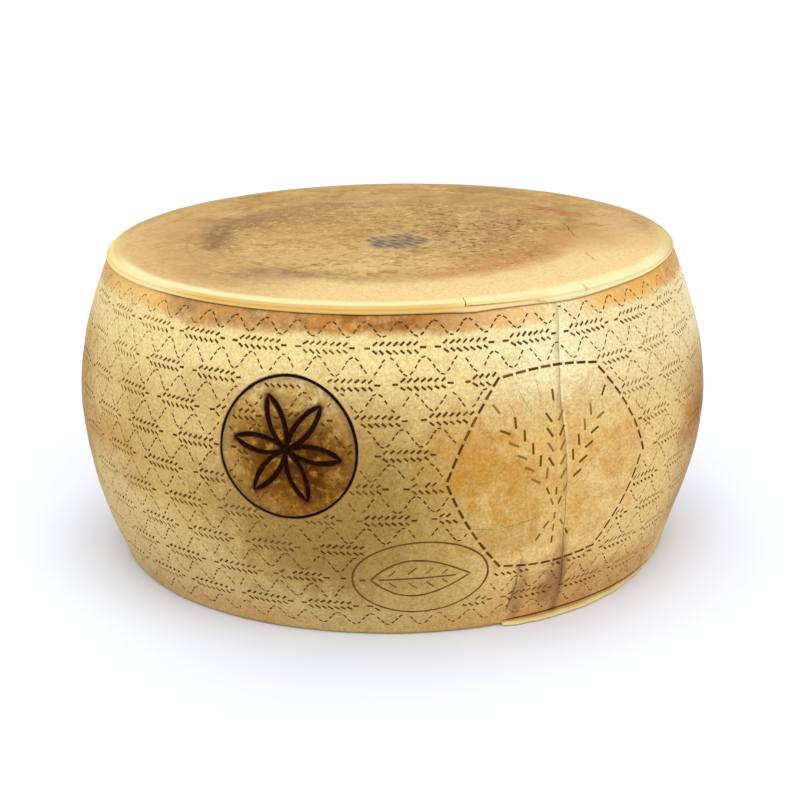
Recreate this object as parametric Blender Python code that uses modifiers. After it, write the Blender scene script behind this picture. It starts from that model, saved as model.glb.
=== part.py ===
"""Aged hard cheese wheel standing on its flat base, with the casein plate sunk in its top.

Metres, +Z up, origin at the centre of the base. The marked front of the wheel faces -Y, and an
angle round the wheel is counted from -Y towards +X. The wheel is one turned solid with a bulging
side, a rolled rim with a groove under it, a mould seam and a pressed-out lip at the foot. A burnt
rosette, a sheaf in a dashed frame and a leaf in an oval are sunk in its side.
"""

import math

import bmesh
import bpy
from mathutils import Matrix, Vector

MM = 0.001

# Wheel: overall sizes and the fullness of its side above and below the bulge
HEIGHT = 214.5 * MM
WIDEST_RADIUS = 220.0 * MM
TOP_RADIUS = 193.4 * MM
BASE_RADIUS = 193.4 * MM
BULGE_HEIGHT = 115.0 * MM
UPPER_FULLNESS = 1.69
LOWER_FULLNESS = 1.92
SEGMENTS = 84
SIDE_RINGS = 15

# Top face and rolled rim
DISH_DEPTH = 1.6 * MM
TOP_RINGS = 4
RIM_WIDTH = 8.0 * MM
RIM_DROP = 1.8 * MM
RIM_STEPS = 4
LIP_DEPTH = 5.0 * MM
LIP_PROUD = 0.8 * MM
LINE_WIDTH = 1.8 * MM
LINE_DEPTH = 1.3 * MM
FOOT_ROUND = 4.5 * MM
FOOT_STEPS = 3

# Casein plate, lying nearly flush in its recess
PLATE_LENGTH = 52.5 * MM
PLATE_WIDTH = 54.5 * MM
PLATE_THICKNESS = 1.6 * MM
PLATE_PROUD = 0.5 * MM
PLATE_CENTRE = (5.8 * MM, -11.8 * MM)
PLATE_SIDES = 40
PLATE_RIBS = 9
PLATE_RIB_PITCH = 5.3 * MM
PLATE_RIB_REACH = 21.0 * MM
PLATE_RIB_SPAN = 25.0 * MM
PLATE_RIB_TURN = math.radians(35.0)
SEAT_GAP = 0.3 * MM

# Lip pressed out at the foot: height, greatest reach past the side, the angles where it starts and
# ends, and the furrow that parts it from the side
FOOT_LIP_HEIGHT = 3.2 * MM
FOOT_LIP_REACH = 8.2 * MM
FOOT_LIP_START = math.radians(20.0)
FOOT_LIP_END = math.radians(63.0)
FOOT_LIP_STEPS = 16
FOOT_LIP_LIFT = 0.5 * MM
FOOT_LIP_CREST = math.radians(31.0)
FOOT_LIP_SPREAD = math.radians(42.0)
FURROW_RADIUS = 1.3 * MM
FURROW_RISE = 0.8 * MM
FURROW_STEPS = 14

# Mould seam and the crease beside it: (angle, height, half width) down the side
SEAM = (
    (31.0, 203.0, 0.4), (29.6, 180.0, 0.5), (28.5, 152.0, 0.6), (28.8, 128.0, 0.6),
    (29.0, 107.0, 0.6), (29.2, 80.0, 0.7), (29.6, 58.0, 0.9), (30.5, 36.0, 1.2), (31.0, 20.0, 0.8),
)
CREASE = ((21.8, 54.0, 0.4), (21.4, 38.0, 0.8), (21.0, 22.0, 1.3), (20.4, 10.0, 1.2))

# Fold in the rim above the seam, the nicks across the rim and the cracks in the top face
FOLD = ((13.4, 212.4), (19.8, 212.1), (25.8, 211.6), (27.4, 210.6), (29.2, 208.8))
NICKS = ((13.7, 2.0), (38.6, 2.0))
CRACKS = (
    ((123.0, 48.0), (126.0, 26.0), (127.5, 4.0), (131.0, -15.0)),
    ((130.0, -58.0), (132.0, -68.0), (133.5, -78.0), (135.5, -90.5)),
)

# Burnt rosette
ROSETTE_AT = (-17.3, 130.0)
ROSETTE_TILT = math.radians(-8.0)
ROSETTE_RING = 44.0 * MM
ROSETTE_PETAL = 35.0 * MM
ROSETTE_LINE = (2.8 * MM, 1.1 * MM)

# Sheaf in its dashed frame. A dash is its length, width and depth, and the shares say where on an
# ear's line, from its foot at 0 to its tip at 1, the first one lies and how far on the next is
FRAME_AT = (27.2, 109.0)
FRAME_HALF_WIDTH = 74.0 * MM
FRAME_HALF_HEIGHT = 62.0 * MM
FRAME_ROUNDING = 0.35
FRAME_DASH = (7.2 * MM, 2.2 * MM, 0.9 * MM)
FRAME_PITCH = 9.2 * MM
SEED_DASH = (8.4 * MM, 2.8 * MM, 1.0 * MM)
STEM_DASH = (6.0 * MM, 1.9 * MM, 0.8 * MM)
SEED_PAIRS = 5
SEED_SHARES = (0.47, 0.092)
STEM_DASHES = 5
STEM_SHARES = (0.02, 0.085)
TIP_SHARE = 0.97
TIP_TURN = 0.6
SEED_SPREAD = 4.4 * MM
SEED_TURN = math.radians(32.0)
SHEAF_LEANS = (-1, 0, 1)
EAR_FOOT = -50.0 * MM
EAR_LENGTH = 100.0 * MM
TIE_SHARE = 0.2
TIE_DASH = (15.0 * MM, 2.2 * MM, 0.9 * MM)
TIE_HEIGHTS = (-32.0 * MM, -27.5 * MM)

# Leaf in an oval
OVAL_AT = (4.2, 44.5)
OVAL_TILT = math.radians(2.0)
OVAL_HALF = (42.5 * MM, 26.0 * MM)
OVAL_LINE = (1.6 * MM, 0.8 * MM)
LEAF_HALF_LENGTH = 31.0 * MM
LEAF_HALF_WIDTH = 13.0 * MM
LEAF_VEINS = 4

RIND_COLOUR = (0.62, 0.42, 0.17, 1.0)
CASEIN_COLOUR = (0.26, 0.20, 0.15, 1.0)


def clear_scene():
    for thing in list(bpy.data.objects):
        bpy.data.objects.remove(thing, do_unlink=True)


def new_collection(name):
    collection = bpy.data.collections.new(name)
    bpy.context.scene.collection.children.link(collection)
    return collection


def new_object(name, mesh, collection):
    thing = bpy.data.objects.new(name, mesh)
    collection.objects.link(thing)
    return thing


def material(name, colour, roughness):
    made = bpy.data.materials.new(name)
    made.use_nodes = True
    shader = made.node_tree.nodes["Principled BSDF"]
    shader.inputs["Base Color"].default_value = colour
    shader.inputs["Roughness"].default_value = roughness
    shader.inputs["Metallic"].default_value = 0.0
    return made


def evaluated_mesh(thing):
    """The object's mesh with its modifiers applied."""
    bpy.context.view_layer.update()
    graph = bpy.context.evaluated_depsgraph_get()
    return bpy.data.meshes.new_from_object(thing.evaluated_get(graph))


def bump(value, centre, reach):
    """1 at the centre, falling smoothly to 0 at the reach."""
    share = min(abs(value - centre) / reach, 1.0)
    return 0.5 + 0.5 * math.cos(math.pi * share)


def side_radius(z):
    """Radius of the bulging side at a height, before any unevenness."""
    if z > BULGE_HEIGHT:
        share = (z - BULGE_HEIGHT) / (HEIGHT - BULGE_HEIGHT)
        return WIDEST_RADIUS - (WIDEST_RADIUS - TOP_RADIUS) * share**UPPER_FULLNESS
    share = (BULGE_HEIGHT - z) / BULGE_HEIGHT
    return WIDEST_RADIUS - (WIDEST_RADIUS - BASE_RADIUS) * share**LOWER_FULLNESS


def unevenness(angle, z):
    """How far the side stands out of the turned shape: slow waves, and one flank pressed in."""
    waves = 0.5 * math.sin(2 * angle + 0.6) + 0.35 * math.sin(3 * angle + 14 * z + 1.9)
    waves += 0.25 * math.sin(5 * angle - 22 * z)
    pressed = bump(angle, math.radians(72), math.radians(26)) * bump(z, 0.030, 0.050)
    full = bump(angle, math.radians(-82), math.radians(50)) * bump(z, 0.050, 0.060)
    return (waves - 2.6 * pressed + 0.8 * full) * MM


def rind_point(angle, z, lift=0.0):
    radius = side_radius(z) + unevenness(angle, z) + lift
    return Vector((radius * math.sin(angle), -radius * math.cos(angle), z))


def line_sag(angle):
    """How far the groove under the rim dips as it goes round."""
    dips = 1.3 * bump(angle, math.radians(35), math.radians(12))
    dips += 0.9 * bump(angle, math.radians(14.5), math.radians(5))
    dips -= 2.0 * bump(angle, math.radians(72), math.radians(20))
    return (dips + 0.3 * math.sin(3 * angle + 0.5)) * MM


def top_height(x, y):
    """Height of the slightly dished, uneven top face."""
    share = min(math.hypot(x, y) / (TOP_RADIUS - RIM_WIDTH), 1.0)
    waves = 0.6 * math.sin(31 * x + 1.0) * math.cos(27 * y) + 0.3 * math.sin(55 * (x + y))
    return HEIGHT - DISH_DEPTH * (1 - share**2) + waves * (1 - share**4) * share * MM


def wheel_profile():
    """Half section from the middle of the top, over the rim and down the side to the base."""
    inner = TOP_RADIUS - RIM_WIDTH
    points = [(inner * k / TOP_RINGS, HEIGHT) for k in range(TOP_RINGS)]
    lip_top = HEIGHT - RIM_DROP
    lip_radius = side_radius(lip_top) + LIP_PROUD
    for k in range(RIM_STEPS + 1):
        turn = math.pi / 2 * k / RIM_STEPS
        radius = inner + (lip_radius - inner) * math.sin(turn)
        points.append((radius, lip_top + RIM_DROP * math.cos(turn)))
    line_z = HEIGHT - LIP_DEPTH
    points.append((side_radius(line_z) + LIP_PROUD, line_z + LINE_WIDTH / 2))
    points.append((side_radius(line_z) - LINE_DEPTH, line_z))
    start, end = line_z - LINE_WIDTH / 2, FOOT_ROUND
    for k in range(SIDE_RINGS + 1):
        z = start + (end - start) * k / SIDE_RINGS
        points.append((side_radius(z), z))
    for k in range(1, FOOT_STEPS + 1):
        turn = math.pi / 2 * k / FOOT_STEPS
        radius = side_radius(FOOT_ROUND) - FOOT_ROUND * (1 - math.cos(turn))
        points.append((radius, FOOT_ROUND * (1 - math.sin(turn))))
    points.append((0.0, 0.0))
    return points


def turned_wheel(collection):
    """The wheel's solid, turned from its half section and then made slightly uneven."""
    points = wheel_profile()
    mesh = bpy.data.meshes.new("wheel_profile")
    edges = [(k, k + 1) for k in range(len(points) - 1)]
    mesh.from_pydata([(r, 0.0, z) for r, z in points], edges, [])
    profile = new_object("wheel_profile", mesh, collection)
    screw = profile.modifiers.new("turn", "SCREW")
    screw.steps = screw.render_steps = SEGMENTS
    screw.use_merge_vertices = True
    screw.merge_threshold = 0.01 * MM
    turned = evaluated_mesh(profile)
    bpy.data.objects.remove(profile, do_unlink=True)

    line_z = HEIGHT - LIP_DEPTH
    shell = bmesh.new()
    shell.from_mesh(turned)
    for vert in shell.verts:
        x, y, z = vert.co
        radius = math.hypot(x, y)
        angle = math.atan2(x, -y)
        if radius < TOP_RADIUS - RIM_WIDTH + 0.1 * MM and z > HEIGHT / 2:
            vert.co.z = top_height(x, y)
        if radius > 1.0 * MM:
            out = unevenness(angle, z) * min(radius / BASE_RADIUS, 1.0)
            vert.co.x *= (radius + out) / radius
            vert.co.y *= (radius + out) / radius
        vert.co.z -= line_sag(angle) * bump(z, line_z, 3.0 * MM) * (radius > TOP_RADIUS)
    shell.to_mesh(turned)
    shell.free()
    turned.shade_smooth()
    turned.set_sharp_from_angle(angle=math.radians(35))
    return new_object("cheese_wheel", turned, collection)


def foot_lip_section(angle, reach):
    """Section of the lip at the foot: an outline in the upright plane at this angle."""
    inner = BASE_RADIUS - 14 * MM
    outer = BASE_RADIUS + unevenness(angle, 0.0) + reach
    low, high = FOOT_LIP_LIFT, FOOT_LIP_LIFT + FOOT_LIP_HEIGHT
    outline = (
        (inner, low), (outer - 1.0 * MM, low), (outer, low + 1.0 * MM),
        (outer - 0.4 * MM, high - 1.3 * MM), (outer - 2.2 * MM, high - 0.6 * MM), (inner, high),
    )
    return [Vector((r * math.sin(angle), -r * math.cos(angle), z)) for r, z in outline]


def foot_lip(collection):
    """The lip, lofted from its abrupt start to where it runs out into the side."""
    loft = bmesh.new()
    rings = []
    for k in range(FOOT_LIP_STEPS + 1):
        share = k / FOOT_LIP_STEPS
        angle = FOOT_LIP_START + (FOOT_LIP_END - FOOT_LIP_START) * share
        reach = FOOT_LIP_REACH * bump(angle, FOOT_LIP_CREST, FOOT_LIP_SPREAD) + 0.2 * MM
        if k == 0:
            reach *= 0.7
        rings.append([loft.verts.new(point) for point in foot_lip_section(angle, reach)])
    for near, far in zip(rings, rings[1:]):
        for k in range(len(near)):
            after = (k + 1) % len(near)
            loft.faces.new((near[k], near[after], far[after], far[k]))
    loft.faces.new(rings[0])
    loft.faces.new(rings[-1])
    bmesh.ops.recalc_face_normals(loft, faces=loft.faces)
    mesh = bpy.data.meshes.new("foot_lip")
    loft.to_mesh(mesh)
    loft.free()
    return new_object("foot_lip", mesh, collection)


def tube_cutter(points, radius, collection, cyclic=False, swell=None):
    """A round cutter along a line. swell gives each point its own share of the radius."""
    curve = bpy.data.curves.new("line", "CURVE")
    curve.dimensions = "3D"
    curve.bevel_depth = radius
    curve.bevel_resolution = 1
    curve.use_fill_caps = True
    spline = curve.splines.new("POLY")
    spline.points.add(len(points) - 1)
    for k, point in enumerate(points):
        spline.points[k].co = (*point, 1.0)
        spline.points[k].radius = swell[k] if swell else 1.0
    spline.use_cyclic_u = cyclic
    guide = new_object("line", curve, collection)
    mesh = evaluated_mesh(guide)
    bpy.data.objects.remove(guide, do_unlink=True)
    welded = bmesh.new()
    welded.from_mesh(mesh)
    bmesh.ops.remove_doubles(welded, verts=welded.verts, dist=0.01 * MM)
    bmesh.ops.recalc_face_normals(welded, faces=welded.faces)
    welded.to_mesh(mesh)
    welded.free()
    return new_object("groove_cutter", mesh, collection)


def cut_size(width, depth):
    """Radius and lift of a round cutter that leaves a groove this wide and deep."""
    radius = (width * width / 4 + depth * depth) / (2 * depth)
    return radius, radius - depth


def on_side(at, tilt=0.0):
    """A function that puts a flat mark's points (right, up) on the side round the place at."""
    angle, height = math.radians(at[0]), at[1] * MM
    radius = side_radius(height)

    def place(right, up, lift=0.0):
        turned_right = right * math.cos(tilt) - up * math.sin(tilt)
        turned_up = right * math.sin(tilt) + up * math.cos(tilt)
        return rind_point(angle + turned_right / radius, height + turned_up, lift)

    return place


def groove(place, points, line, collection, cyclic=False):
    radius, lift = cut_size(*line)
    path = [place(right, up, lift) for right, up in points]
    return tube_cutter(path, radius, collection, cyclic)


def dash(place, right, up, turn, size, collection):
    """A short bar cutter at a place in the mark, turned from the mark's right."""
    length, width, depth = size
    radius, lift = cut_size(width, depth)
    along = (math.cos(turn) * length / 2, math.sin(turn) * length / 2)
    start = place(right - along[0], up - along[1], lift)
    end = place(right + along[0], up + along[1], lift)
    axis = end - start
    outward = Vector((start.x + end.x, start.y + end.y, 0.0)).normalized()
    across = axis.cross(outward).normalized()
    turned = Matrix((across, axis.cross(across).normalized(), axis.normalized())).transposed()
    bar = bmesh.new()
    bmesh.ops.create_cone(
        bar, cap_ends=True, segments=6, radius1=radius, radius2=radius, depth=axis.length,
        matrix=Matrix.Translation((start + end) / 2) @ turned.to_4x4(),
    )
    mesh = bpy.data.meshes.new("dash")
    bar.to_mesh(mesh)
    bar.free()
    return new_object("dash_cutter", mesh, collection)


def arc(centre, radius, start, end, steps):
    angles = [start + (end - start) * k / steps for k in range(steps + 1)]
    return [(centre[0] + radius * math.cos(a), centre[1] + radius * math.sin(a)) for a in angles]


def spaced(points, pitch):
    """Places evenly spaced along a closed outline, each with the line's direction there."""
    closed = points + points[:1]
    lengths = [math.dist(a, b) for a, b in zip(closed, closed[1:])]
    count = round(sum(lengths) / pitch)
    step = sum(lengths) / count
    found, gone, k = [], 0.0, 0
    for n in range(count):
        while gone + lengths[k] < n * step:
            gone += lengths[k]
            k += 1
        share = (n * step - gone) / lengths[k]
        (x0, y0), (x1, y1) = closed[k], closed[k + 1]
        turn = math.atan2(y1 - y0, x1 - x0)
        found.append((x0 + (x1 - x0) * share, y0 + (y1 - y0) * share, turn))
    return found


def frame_outline():
    """A hexagon with flat top and bottom and soft corners."""
    points = []
    for k in range(180):
        angle = math.radians(2 * k)
        near = (angle % math.radians(60)) - math.radians(30)
        straight = math.cos(math.radians(30)) / math.cos(near)
        size = straight * (1 - FRAME_ROUNDING) + FRAME_ROUNDING * 0.95
        high = FRAME_HALF_HEIGHT / math.cos(math.radians(30))
        points.append((FRAME_HALF_WIDTH * size * math.cos(angle), high * size * math.sin(angle)))
    return points


def cut_rosette(collection):
    """Ring and six petals, the petals bounded by six crossing arcs."""
    place = on_side(ROSETTE_AT, ROSETTE_TILT)
    ring = arc((0.0, 0.0), ROSETTE_RING, 0.0, 2 * math.pi, 40)[:-1]
    groove(place, ring, ROSETTE_LINE, collection, cyclic=True)
    for k in range(6):
        turn = math.radians(60 * k)
        centre = (ROSETTE_PETAL * math.cos(turn), ROSETTE_PETAL * math.sin(turn))
        spread = math.radians(60)
        petal = arc(centre, ROSETTE_PETAL, turn + math.pi - spread, turn + math.pi + spread, 10)
        groove(place, petal, ROSETTE_LINE, collection)


def ear_line(lean, share):
    """The bent middle line of one ear and its stem, from the foot at share 0 to the tip at 1."""
    above = max(share - TIE_SHARE, 0.0)
    below = max(TIE_SHARE - share, 0.0)
    right = lean * (above * 36 + above**2 * 20 + below * 60) * MM
    return right, (EAR_FOOT + EAR_LENGTH * share) * (1 - 0.08 * abs(lean))


def ear_place(lean, share):
    """A place on the ear's line and the line's direction there."""
    right, up = ear_line(lean, share)
    ahead = ear_line(lean, share + 0.01)
    return right, up, math.atan2(ahead[1] - up, ahead[0] - right)


def cut_sheaf(collection):
    """Three ears with their stems, tied low down, inside a dashed frame."""
    place = on_side(FRAME_AT)
    for right, up, turn in spaced(frame_outline(), FRAME_PITCH):
        dash(place, right, up, turn, FRAME_DASH, collection)
    for lean in SHEAF_LEANS:
        for n in range(STEM_DASHES):
            right, up, turn = ear_place(lean, STEM_SHARES[0] + STEM_SHARES[1] * n)
            under_tie = n == 2 and lean != 0
            if not under_tie:
                dash(place, right, up, turn, STEM_DASH, collection)
        for n in range(SEED_PAIRS):
            right, up, turn = ear_place(lean, SEED_SHARES[0] + SEED_SHARES[1] * n)
            for hand in (-1, 1):
                seed_right = right - math.sin(turn) * hand * SEED_SPREAD
                seed_up = up + math.cos(turn) * hand * SEED_SPREAD
                dash(place, seed_right, seed_up, turn + hand * SEED_TURN, SEED_DASH, collection)
        right, up, _ = ear_place(lean, TIP_SHARE)
        dash(place, right, up, math.pi / 2 - TIP_TURN * lean, SEED_DASH, collection)
    for up in TIE_HEIGHTS:
        dash(place, 0.0, up, 0.0, TIE_DASH, collection)


def leaf_edge(along):
    """Half width of the leaf at a distance from its middle."""
    share = along / LEAF_HALF_LENGTH
    return LEAF_HALF_WIDTH * (1 - share**2) * (1 - 0.25 * share)


def cut_leaf(collection):
    """A veined leaf inside a pressed oval."""
    place = on_side(OVAL_AT, OVAL_TILT)
    oval = [(x * OVAL_HALF[0], y * OVAL_HALF[1]) for x, y in arc((0, 0), 1.0, 0, 2 * math.pi, 36)]
    groove(place, oval[:-1], OVAL_LINE, collection, cyclic=True)
    steps = [LEAF_HALF_LENGTH * (k / 5 - 1) for k in range(11)]
    outline = [(x, leaf_edge(x)) for x in steps] + [(x, -leaf_edge(x)) for x in steps[-2:0:-1]]
    groove(place, outline, OVAL_LINE, collection, cyclic=True)
    rib = [(-LEAF_HALF_LENGTH - 5 * MM + 6 * MM * k, 0.0) for k in range(11)]
    groove(place, rib, OVAL_LINE, collection)
    for k in range(LEAF_VEINS):
        start = LEAF_HALF_LENGTH * (-0.72 + 0.36 * k)
        for hand in (-1, 1):
            reach = 0.62 * leaf_edge(start + 5 * MM)
            middle = (start + 0.75 * reach, hand * 0.62 * reach)
            size = (reach, OVAL_LINE[0], OVAL_LINE[1])
            dash(place, *middle, hand * math.radians(42), size, collection)


def cut_seams(collection):
    """The mould seam, the crease beside it, the furrow over the foot lip and the fold in the rim."""
    for seam in (SEAM, CREASE):
        widths = [width for _, _, width in seam]
        path = [rind_point(math.radians(a), z * MM, 0.25 * w * MM) for a, z, w in seam]
        widest = max(widths)
        tube_cutter(path, widest * MM, collection, swell=[w / widest for w in widths])
    steps = range(FURROW_STEPS + 1)
    turns = [FOOT_LIP_START + (FOOT_LIP_END - FOOT_LIP_START) * k / FURROW_STEPS for k in steps]
    furrow_z = FOOT_LIP_LIFT + FOOT_LIP_HEIGHT + FURROW_RISE
    furrow = [rind_point(turn, furrow_z, 0.2 * MM) for turn in turns]
    shares = [min(1.0, 0.35 + 0.25 * k, 0.3 + 0.12 * (FURROW_STEPS - k)) for k in steps]
    tube_cutter(furrow, FURROW_RADIUS, collection, swell=shares)
    fold = [rind_point(math.radians(a), z * MM, LIP_PROUD) for a, z in FOLD]
    tube_cutter(fold, 0.8 * MM, collection)


def cut_top(collection):
    """Nicks across the rim and cracks in the top face."""
    for angle, skew in NICKS:
        path = []
        for inward, drop in ((11.0, 0.2), (5.0, 0.3), (0.5, 1.8), (-1.2, 4.0)):
            turn = math.radians(angle) + skew * inward * 0.001
            radius = TOP_RADIUS - inward * MM
            path.append(Vector((radius * math.sin(turn), -radius * math.cos(turn), HEIGHT - drop * MM)))
        tube_cutter(path, 0.7 * MM, collection, swell=[0.5, 1.0, 1.0, 0.8])
    for crack in CRACKS:
        path = [Vector((x * MM, y * MM, top_height(x * MM, y * MM))) for x, y in crack]
        tube_cutter(path, 0.7 * MM, collection, swell=[0.4, 1.0, 0.9, 0.4])


def plate_seat():
    """Height of the underside of the casein plate."""
    return top_height(*PLATE_CENTRE) + PLATE_PROUD - PLATE_THICKNESS


def oval_prism(name, grow, low, high, collection):
    """An upright oval prism round the plate's centre, from one height to another."""
    solid = bmesh.new()
    size = Matrix.Diagonal((PLATE_LENGTH / 2 + grow, PLATE_WIDTH / 2 + grow, high - low, 1.0))
    middle = Matrix.Translation((*PLATE_CENTRE, (low + high) / 2))
    bmesh.ops.create_cone(
        solid, cap_ends=True, segments=PLATE_SIDES, radius1=1.0, radius2=1.0, depth=1.0,
        matrix=middle @ size,
    )
    mesh = bpy.data.meshes.new(name)
    solid.to_mesh(mesh)
    solid.free()
    return new_object(name, mesh, collection)


def casein_plate(collection, cutters):
    """The nearly round plate with slanting grooves across its face."""
    low = plate_seat()
    plate = oval_prism("casein_plate", 0.0, low, low + PLATE_THICKNESS, collection)
    for k in range(PLATE_RIBS):
        off = (k - (PLATE_RIBS - 1) / 2) * PLATE_RIB_PITCH
        reach = PLATE_RIB_REACH * math.sqrt(max(1 - (off / PLATE_RIB_SPAN) ** 2, 0.1))
        middle = Vector((*PLATE_CENTRE, low + PLATE_THICKNESS + 0.35 * MM))
        across = Vector((math.cos(PLATE_RIB_TURN), math.sin(PLATE_RIB_TURN), 0.0))
        along = Vector((-across.y, across.x, 0.0))
        ends = [middle + across * off - along * reach, middle + across * off + along * reach]
        tube_cutter(ends, 1.0 * MM, cutters)
    add_boolean(plate, "grooves", "DIFFERENCE", cutters)
    return plate


def add_boolean(thing, name, operation, collection):
    cut = thing.modifiers.new(name, "BOOLEAN")
    cut.operation = operation
    cut.solver = "EXACT"
    cut.operand_type = "COLLECTION"
    cut.collection = collection


def hide_guides(collection):
    for thing in collection.objects:
        thing.hide_render = True
        thing.display_type = "WIRE"


def main():
    clear_scene()
    model = new_collection("cheese_wheel_model")
    added = new_collection("wheel_additions")
    cutters = new_collection("wheel_cutters")
    plate_cutters = new_collection("plate_cutters")

    wheel = turned_wheel(model)
    foot_lip(added)
    cut_rosette(cutters)
    cut_sheaf(cutters)
    cut_leaf(cutters)
    cut_seams(cutters)
    cut_top(cutters)
    oval_prism("plate_recess", SEAT_GAP, plate_seat() - SEAT_GAP, HEIGHT + 5 * MM, cutters)
    add_boolean(wheel, "foot_lip", "UNION", added)
    add_boolean(wheel, "marks", "DIFFERENCE", cutters)
    plate = casein_plate(model, plate_cutters)

    wheel.data.materials.append(material("cheese_rind", RIND_COLOUR, 0.55))
    plate.data.materials.append(material("casein", CASEIN_COLOUR, 0.7))
    for guides in (added, cutters, plate_cutters):
        hide_guides(guides)


main()
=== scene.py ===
"""Aged hard cheese wheel: the looks of its rind, its pressed and burnt marks and its casein plate.

The wheel stands on its flat base at the origin, +Z up, with its marked front towards -Y. An angle
round the wheel is counted from -Y towards +X, and a mark is drawn flat, as right and up from its
middle, and then laid on the rind. Sizes are metres, written in millimetres times MM.
"""

import math
import random

import bpy
import numpy as np
from mathutils import Matrix, Vector
from mathutils.kdtree import KDTree


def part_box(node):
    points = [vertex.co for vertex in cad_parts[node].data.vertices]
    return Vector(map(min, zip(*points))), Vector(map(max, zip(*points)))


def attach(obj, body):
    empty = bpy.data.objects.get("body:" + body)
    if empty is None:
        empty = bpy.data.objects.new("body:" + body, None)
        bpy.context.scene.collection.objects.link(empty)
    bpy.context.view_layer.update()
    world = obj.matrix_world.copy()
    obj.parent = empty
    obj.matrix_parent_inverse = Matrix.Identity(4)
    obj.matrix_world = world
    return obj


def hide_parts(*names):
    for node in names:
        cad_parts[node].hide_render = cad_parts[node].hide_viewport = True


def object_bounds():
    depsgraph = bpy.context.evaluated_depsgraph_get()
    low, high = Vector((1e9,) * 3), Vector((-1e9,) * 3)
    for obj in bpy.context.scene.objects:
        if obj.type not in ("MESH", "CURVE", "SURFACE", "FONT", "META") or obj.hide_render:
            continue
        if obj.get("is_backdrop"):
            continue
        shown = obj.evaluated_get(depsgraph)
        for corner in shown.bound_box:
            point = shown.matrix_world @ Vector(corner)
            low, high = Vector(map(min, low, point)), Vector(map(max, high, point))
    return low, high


bl_info = {
    "name": "Cheese Wheel Looks",
    "version": (1, 0, 0),
    "blender": (4, 5, 0),
    "location": "View3D > Sidebar > Cheese",
    "description": "Dresses a packed cheese wheel: grained rind, pricked and burnt marks, casein plate",
    "category": "Object",
}

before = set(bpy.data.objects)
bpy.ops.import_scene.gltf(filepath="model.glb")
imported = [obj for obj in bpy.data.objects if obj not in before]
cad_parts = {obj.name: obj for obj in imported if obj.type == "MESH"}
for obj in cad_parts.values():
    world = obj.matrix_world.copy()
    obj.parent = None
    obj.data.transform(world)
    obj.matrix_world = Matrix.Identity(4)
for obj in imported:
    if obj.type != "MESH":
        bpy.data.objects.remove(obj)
CAD_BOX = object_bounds()
WHEEL_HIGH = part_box("cheese_wheel")[1]
PLATE_LOW, PLATE_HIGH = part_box("casein_plate")

MM = 0.001
TURN = 2 * math.pi
BODY = "root"

# The turned shape, as the solid has it
HEIGHT = WHEEL_HIGH[2]
WIDEST_RADIUS = 220.0 * MM
EDGE_RADIUS = 193.4 * MM
BULGE_HEIGHT = 115.0 * MM
UPPER_FULLNESS = 1.69
LOWER_FULLNESS = 1.92
DISH_DEPTH = 1.6 * MM
RIM_WIDTH = 8.0 * MM
RIM_DROP = 1.8 * MM
LIP_DEPTH = 5.0 * MM
LIP_PROUD = 0.8 * MM
LIP_TOP = HEIGHT - RIM_DROP
LINE_Z = HEIGHT - LIP_DEPTH
FOOT_ROUND = 4.5 * MM
TOP_REACH = EDGE_RADIUS - RIM_WIDTH
DULL_RADIUS = 187.0 * MM

# How the side stands out of true: waves as height in mm, times round, turns a metre up and phase,
# then dents as height in mm, angle and reach in degrees, and height and reach in mm
SIDE_WAVES = ((0.5, 2, 0, 0.6), (0.35, 3, 14, 1.9), (0.25, 5, -22, 0.0))
SIDE_DENTS = ((-2.6, 72.0, 26.0, 30.0, 50.0), (0.8, -82.0, 50.0, 50.0, 60.0))
# Hand-made lumps: height in mm and the two waves that cross in each
SIDE_LUMPS = (
    (0.26, (11, 61, 0.4), (-4, 47, 1.1)),
    (0.16, (23, -88, 2.2), (7, 131, 0.0)),
    (0.09, (53, 207, 0.9), (-31, 263, 0.3)),
)
# Heights of the top's waves, and of its rings and dents midway out
TOP_WAVE = 0.6 * MM
TOP_RIPPLE = 0.3 * MM
TOP_RING = 0.14 * MM
TOP_DENT = 0.22 * MM
# Dips of the groove under the rim: depth in mm, angle and reach in degrees
LINE_DIPS = ((1.3, 35.0, 12.0), (0.9, 14.5, 5.0), (-2.0, 72.0, 20.0))
# How dark that groove is by angle: plain in front, fainter at the right, nearly lost at the left
LINE_DARKNESS = (
    (-180, 0.35), (-110, 0.3), (-90, 0.06), (-56, 0.06), (-46, 0.6), (10, 0.68), (32, 0.5),
    (90, 0.5), (180, 0.35),
)
LINE_DARKEST = 0.68
LINE_REACH = 0.7 * MM
LINE_SHALLOWER = 0.9 * MM

# Section of that groove, as mm out from the side and up from its middle, and of the lip's foot over
# it, as shares of how far the lip stands out and mm up. The side's even rings end at SIDE_END
LINE_SECTION = ((-0.1, -0.7), (-0.5, -0.35), (-1.0, 0.0), (-0.2, 0.3))
LIP_ROUNDING = ((0.7, 0.6), (1.0, 1.2))
LIP_EDGE = 0.8 * MM
SIDE_END = LINE_Z - 1.6 * MM

# Edges that are sharper than this, in degrees, stay sharp
SHARP_DEGREES = {"wheel": 32, "rosette": 40, "plate": 50}
# How finely the rind is modelled
SIDE_RINGS = 36
TOP_RINGS = 18
BASE_RINGS = 4
RIM_STEPS = 7
FOOT_STEPS = 5

# The lip at the foot, widest at its crest, and the furrow over it
FOOT_LIP_HEIGHT = 2.5 * MM
FOOT_LIP_REACH = 6.8 * MM
FOOT_LIP_START = math.radians(20.0)
FOOT_LIP_END = math.radians(63.0)
FOOT_LIP_CREST = math.radians(31.0)
FOOT_LIP_SPREAD = math.radians(42.0)
FOOT_LIP_STEPS = 60
FOOT_LIP_LIFT = 0.5 * MM
FOOT_LIP_CREAM = 0.9
FURROW_RISE = 0.8 * MM
FURROW = (1.4 * MM, 1.1 * MM)

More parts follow.
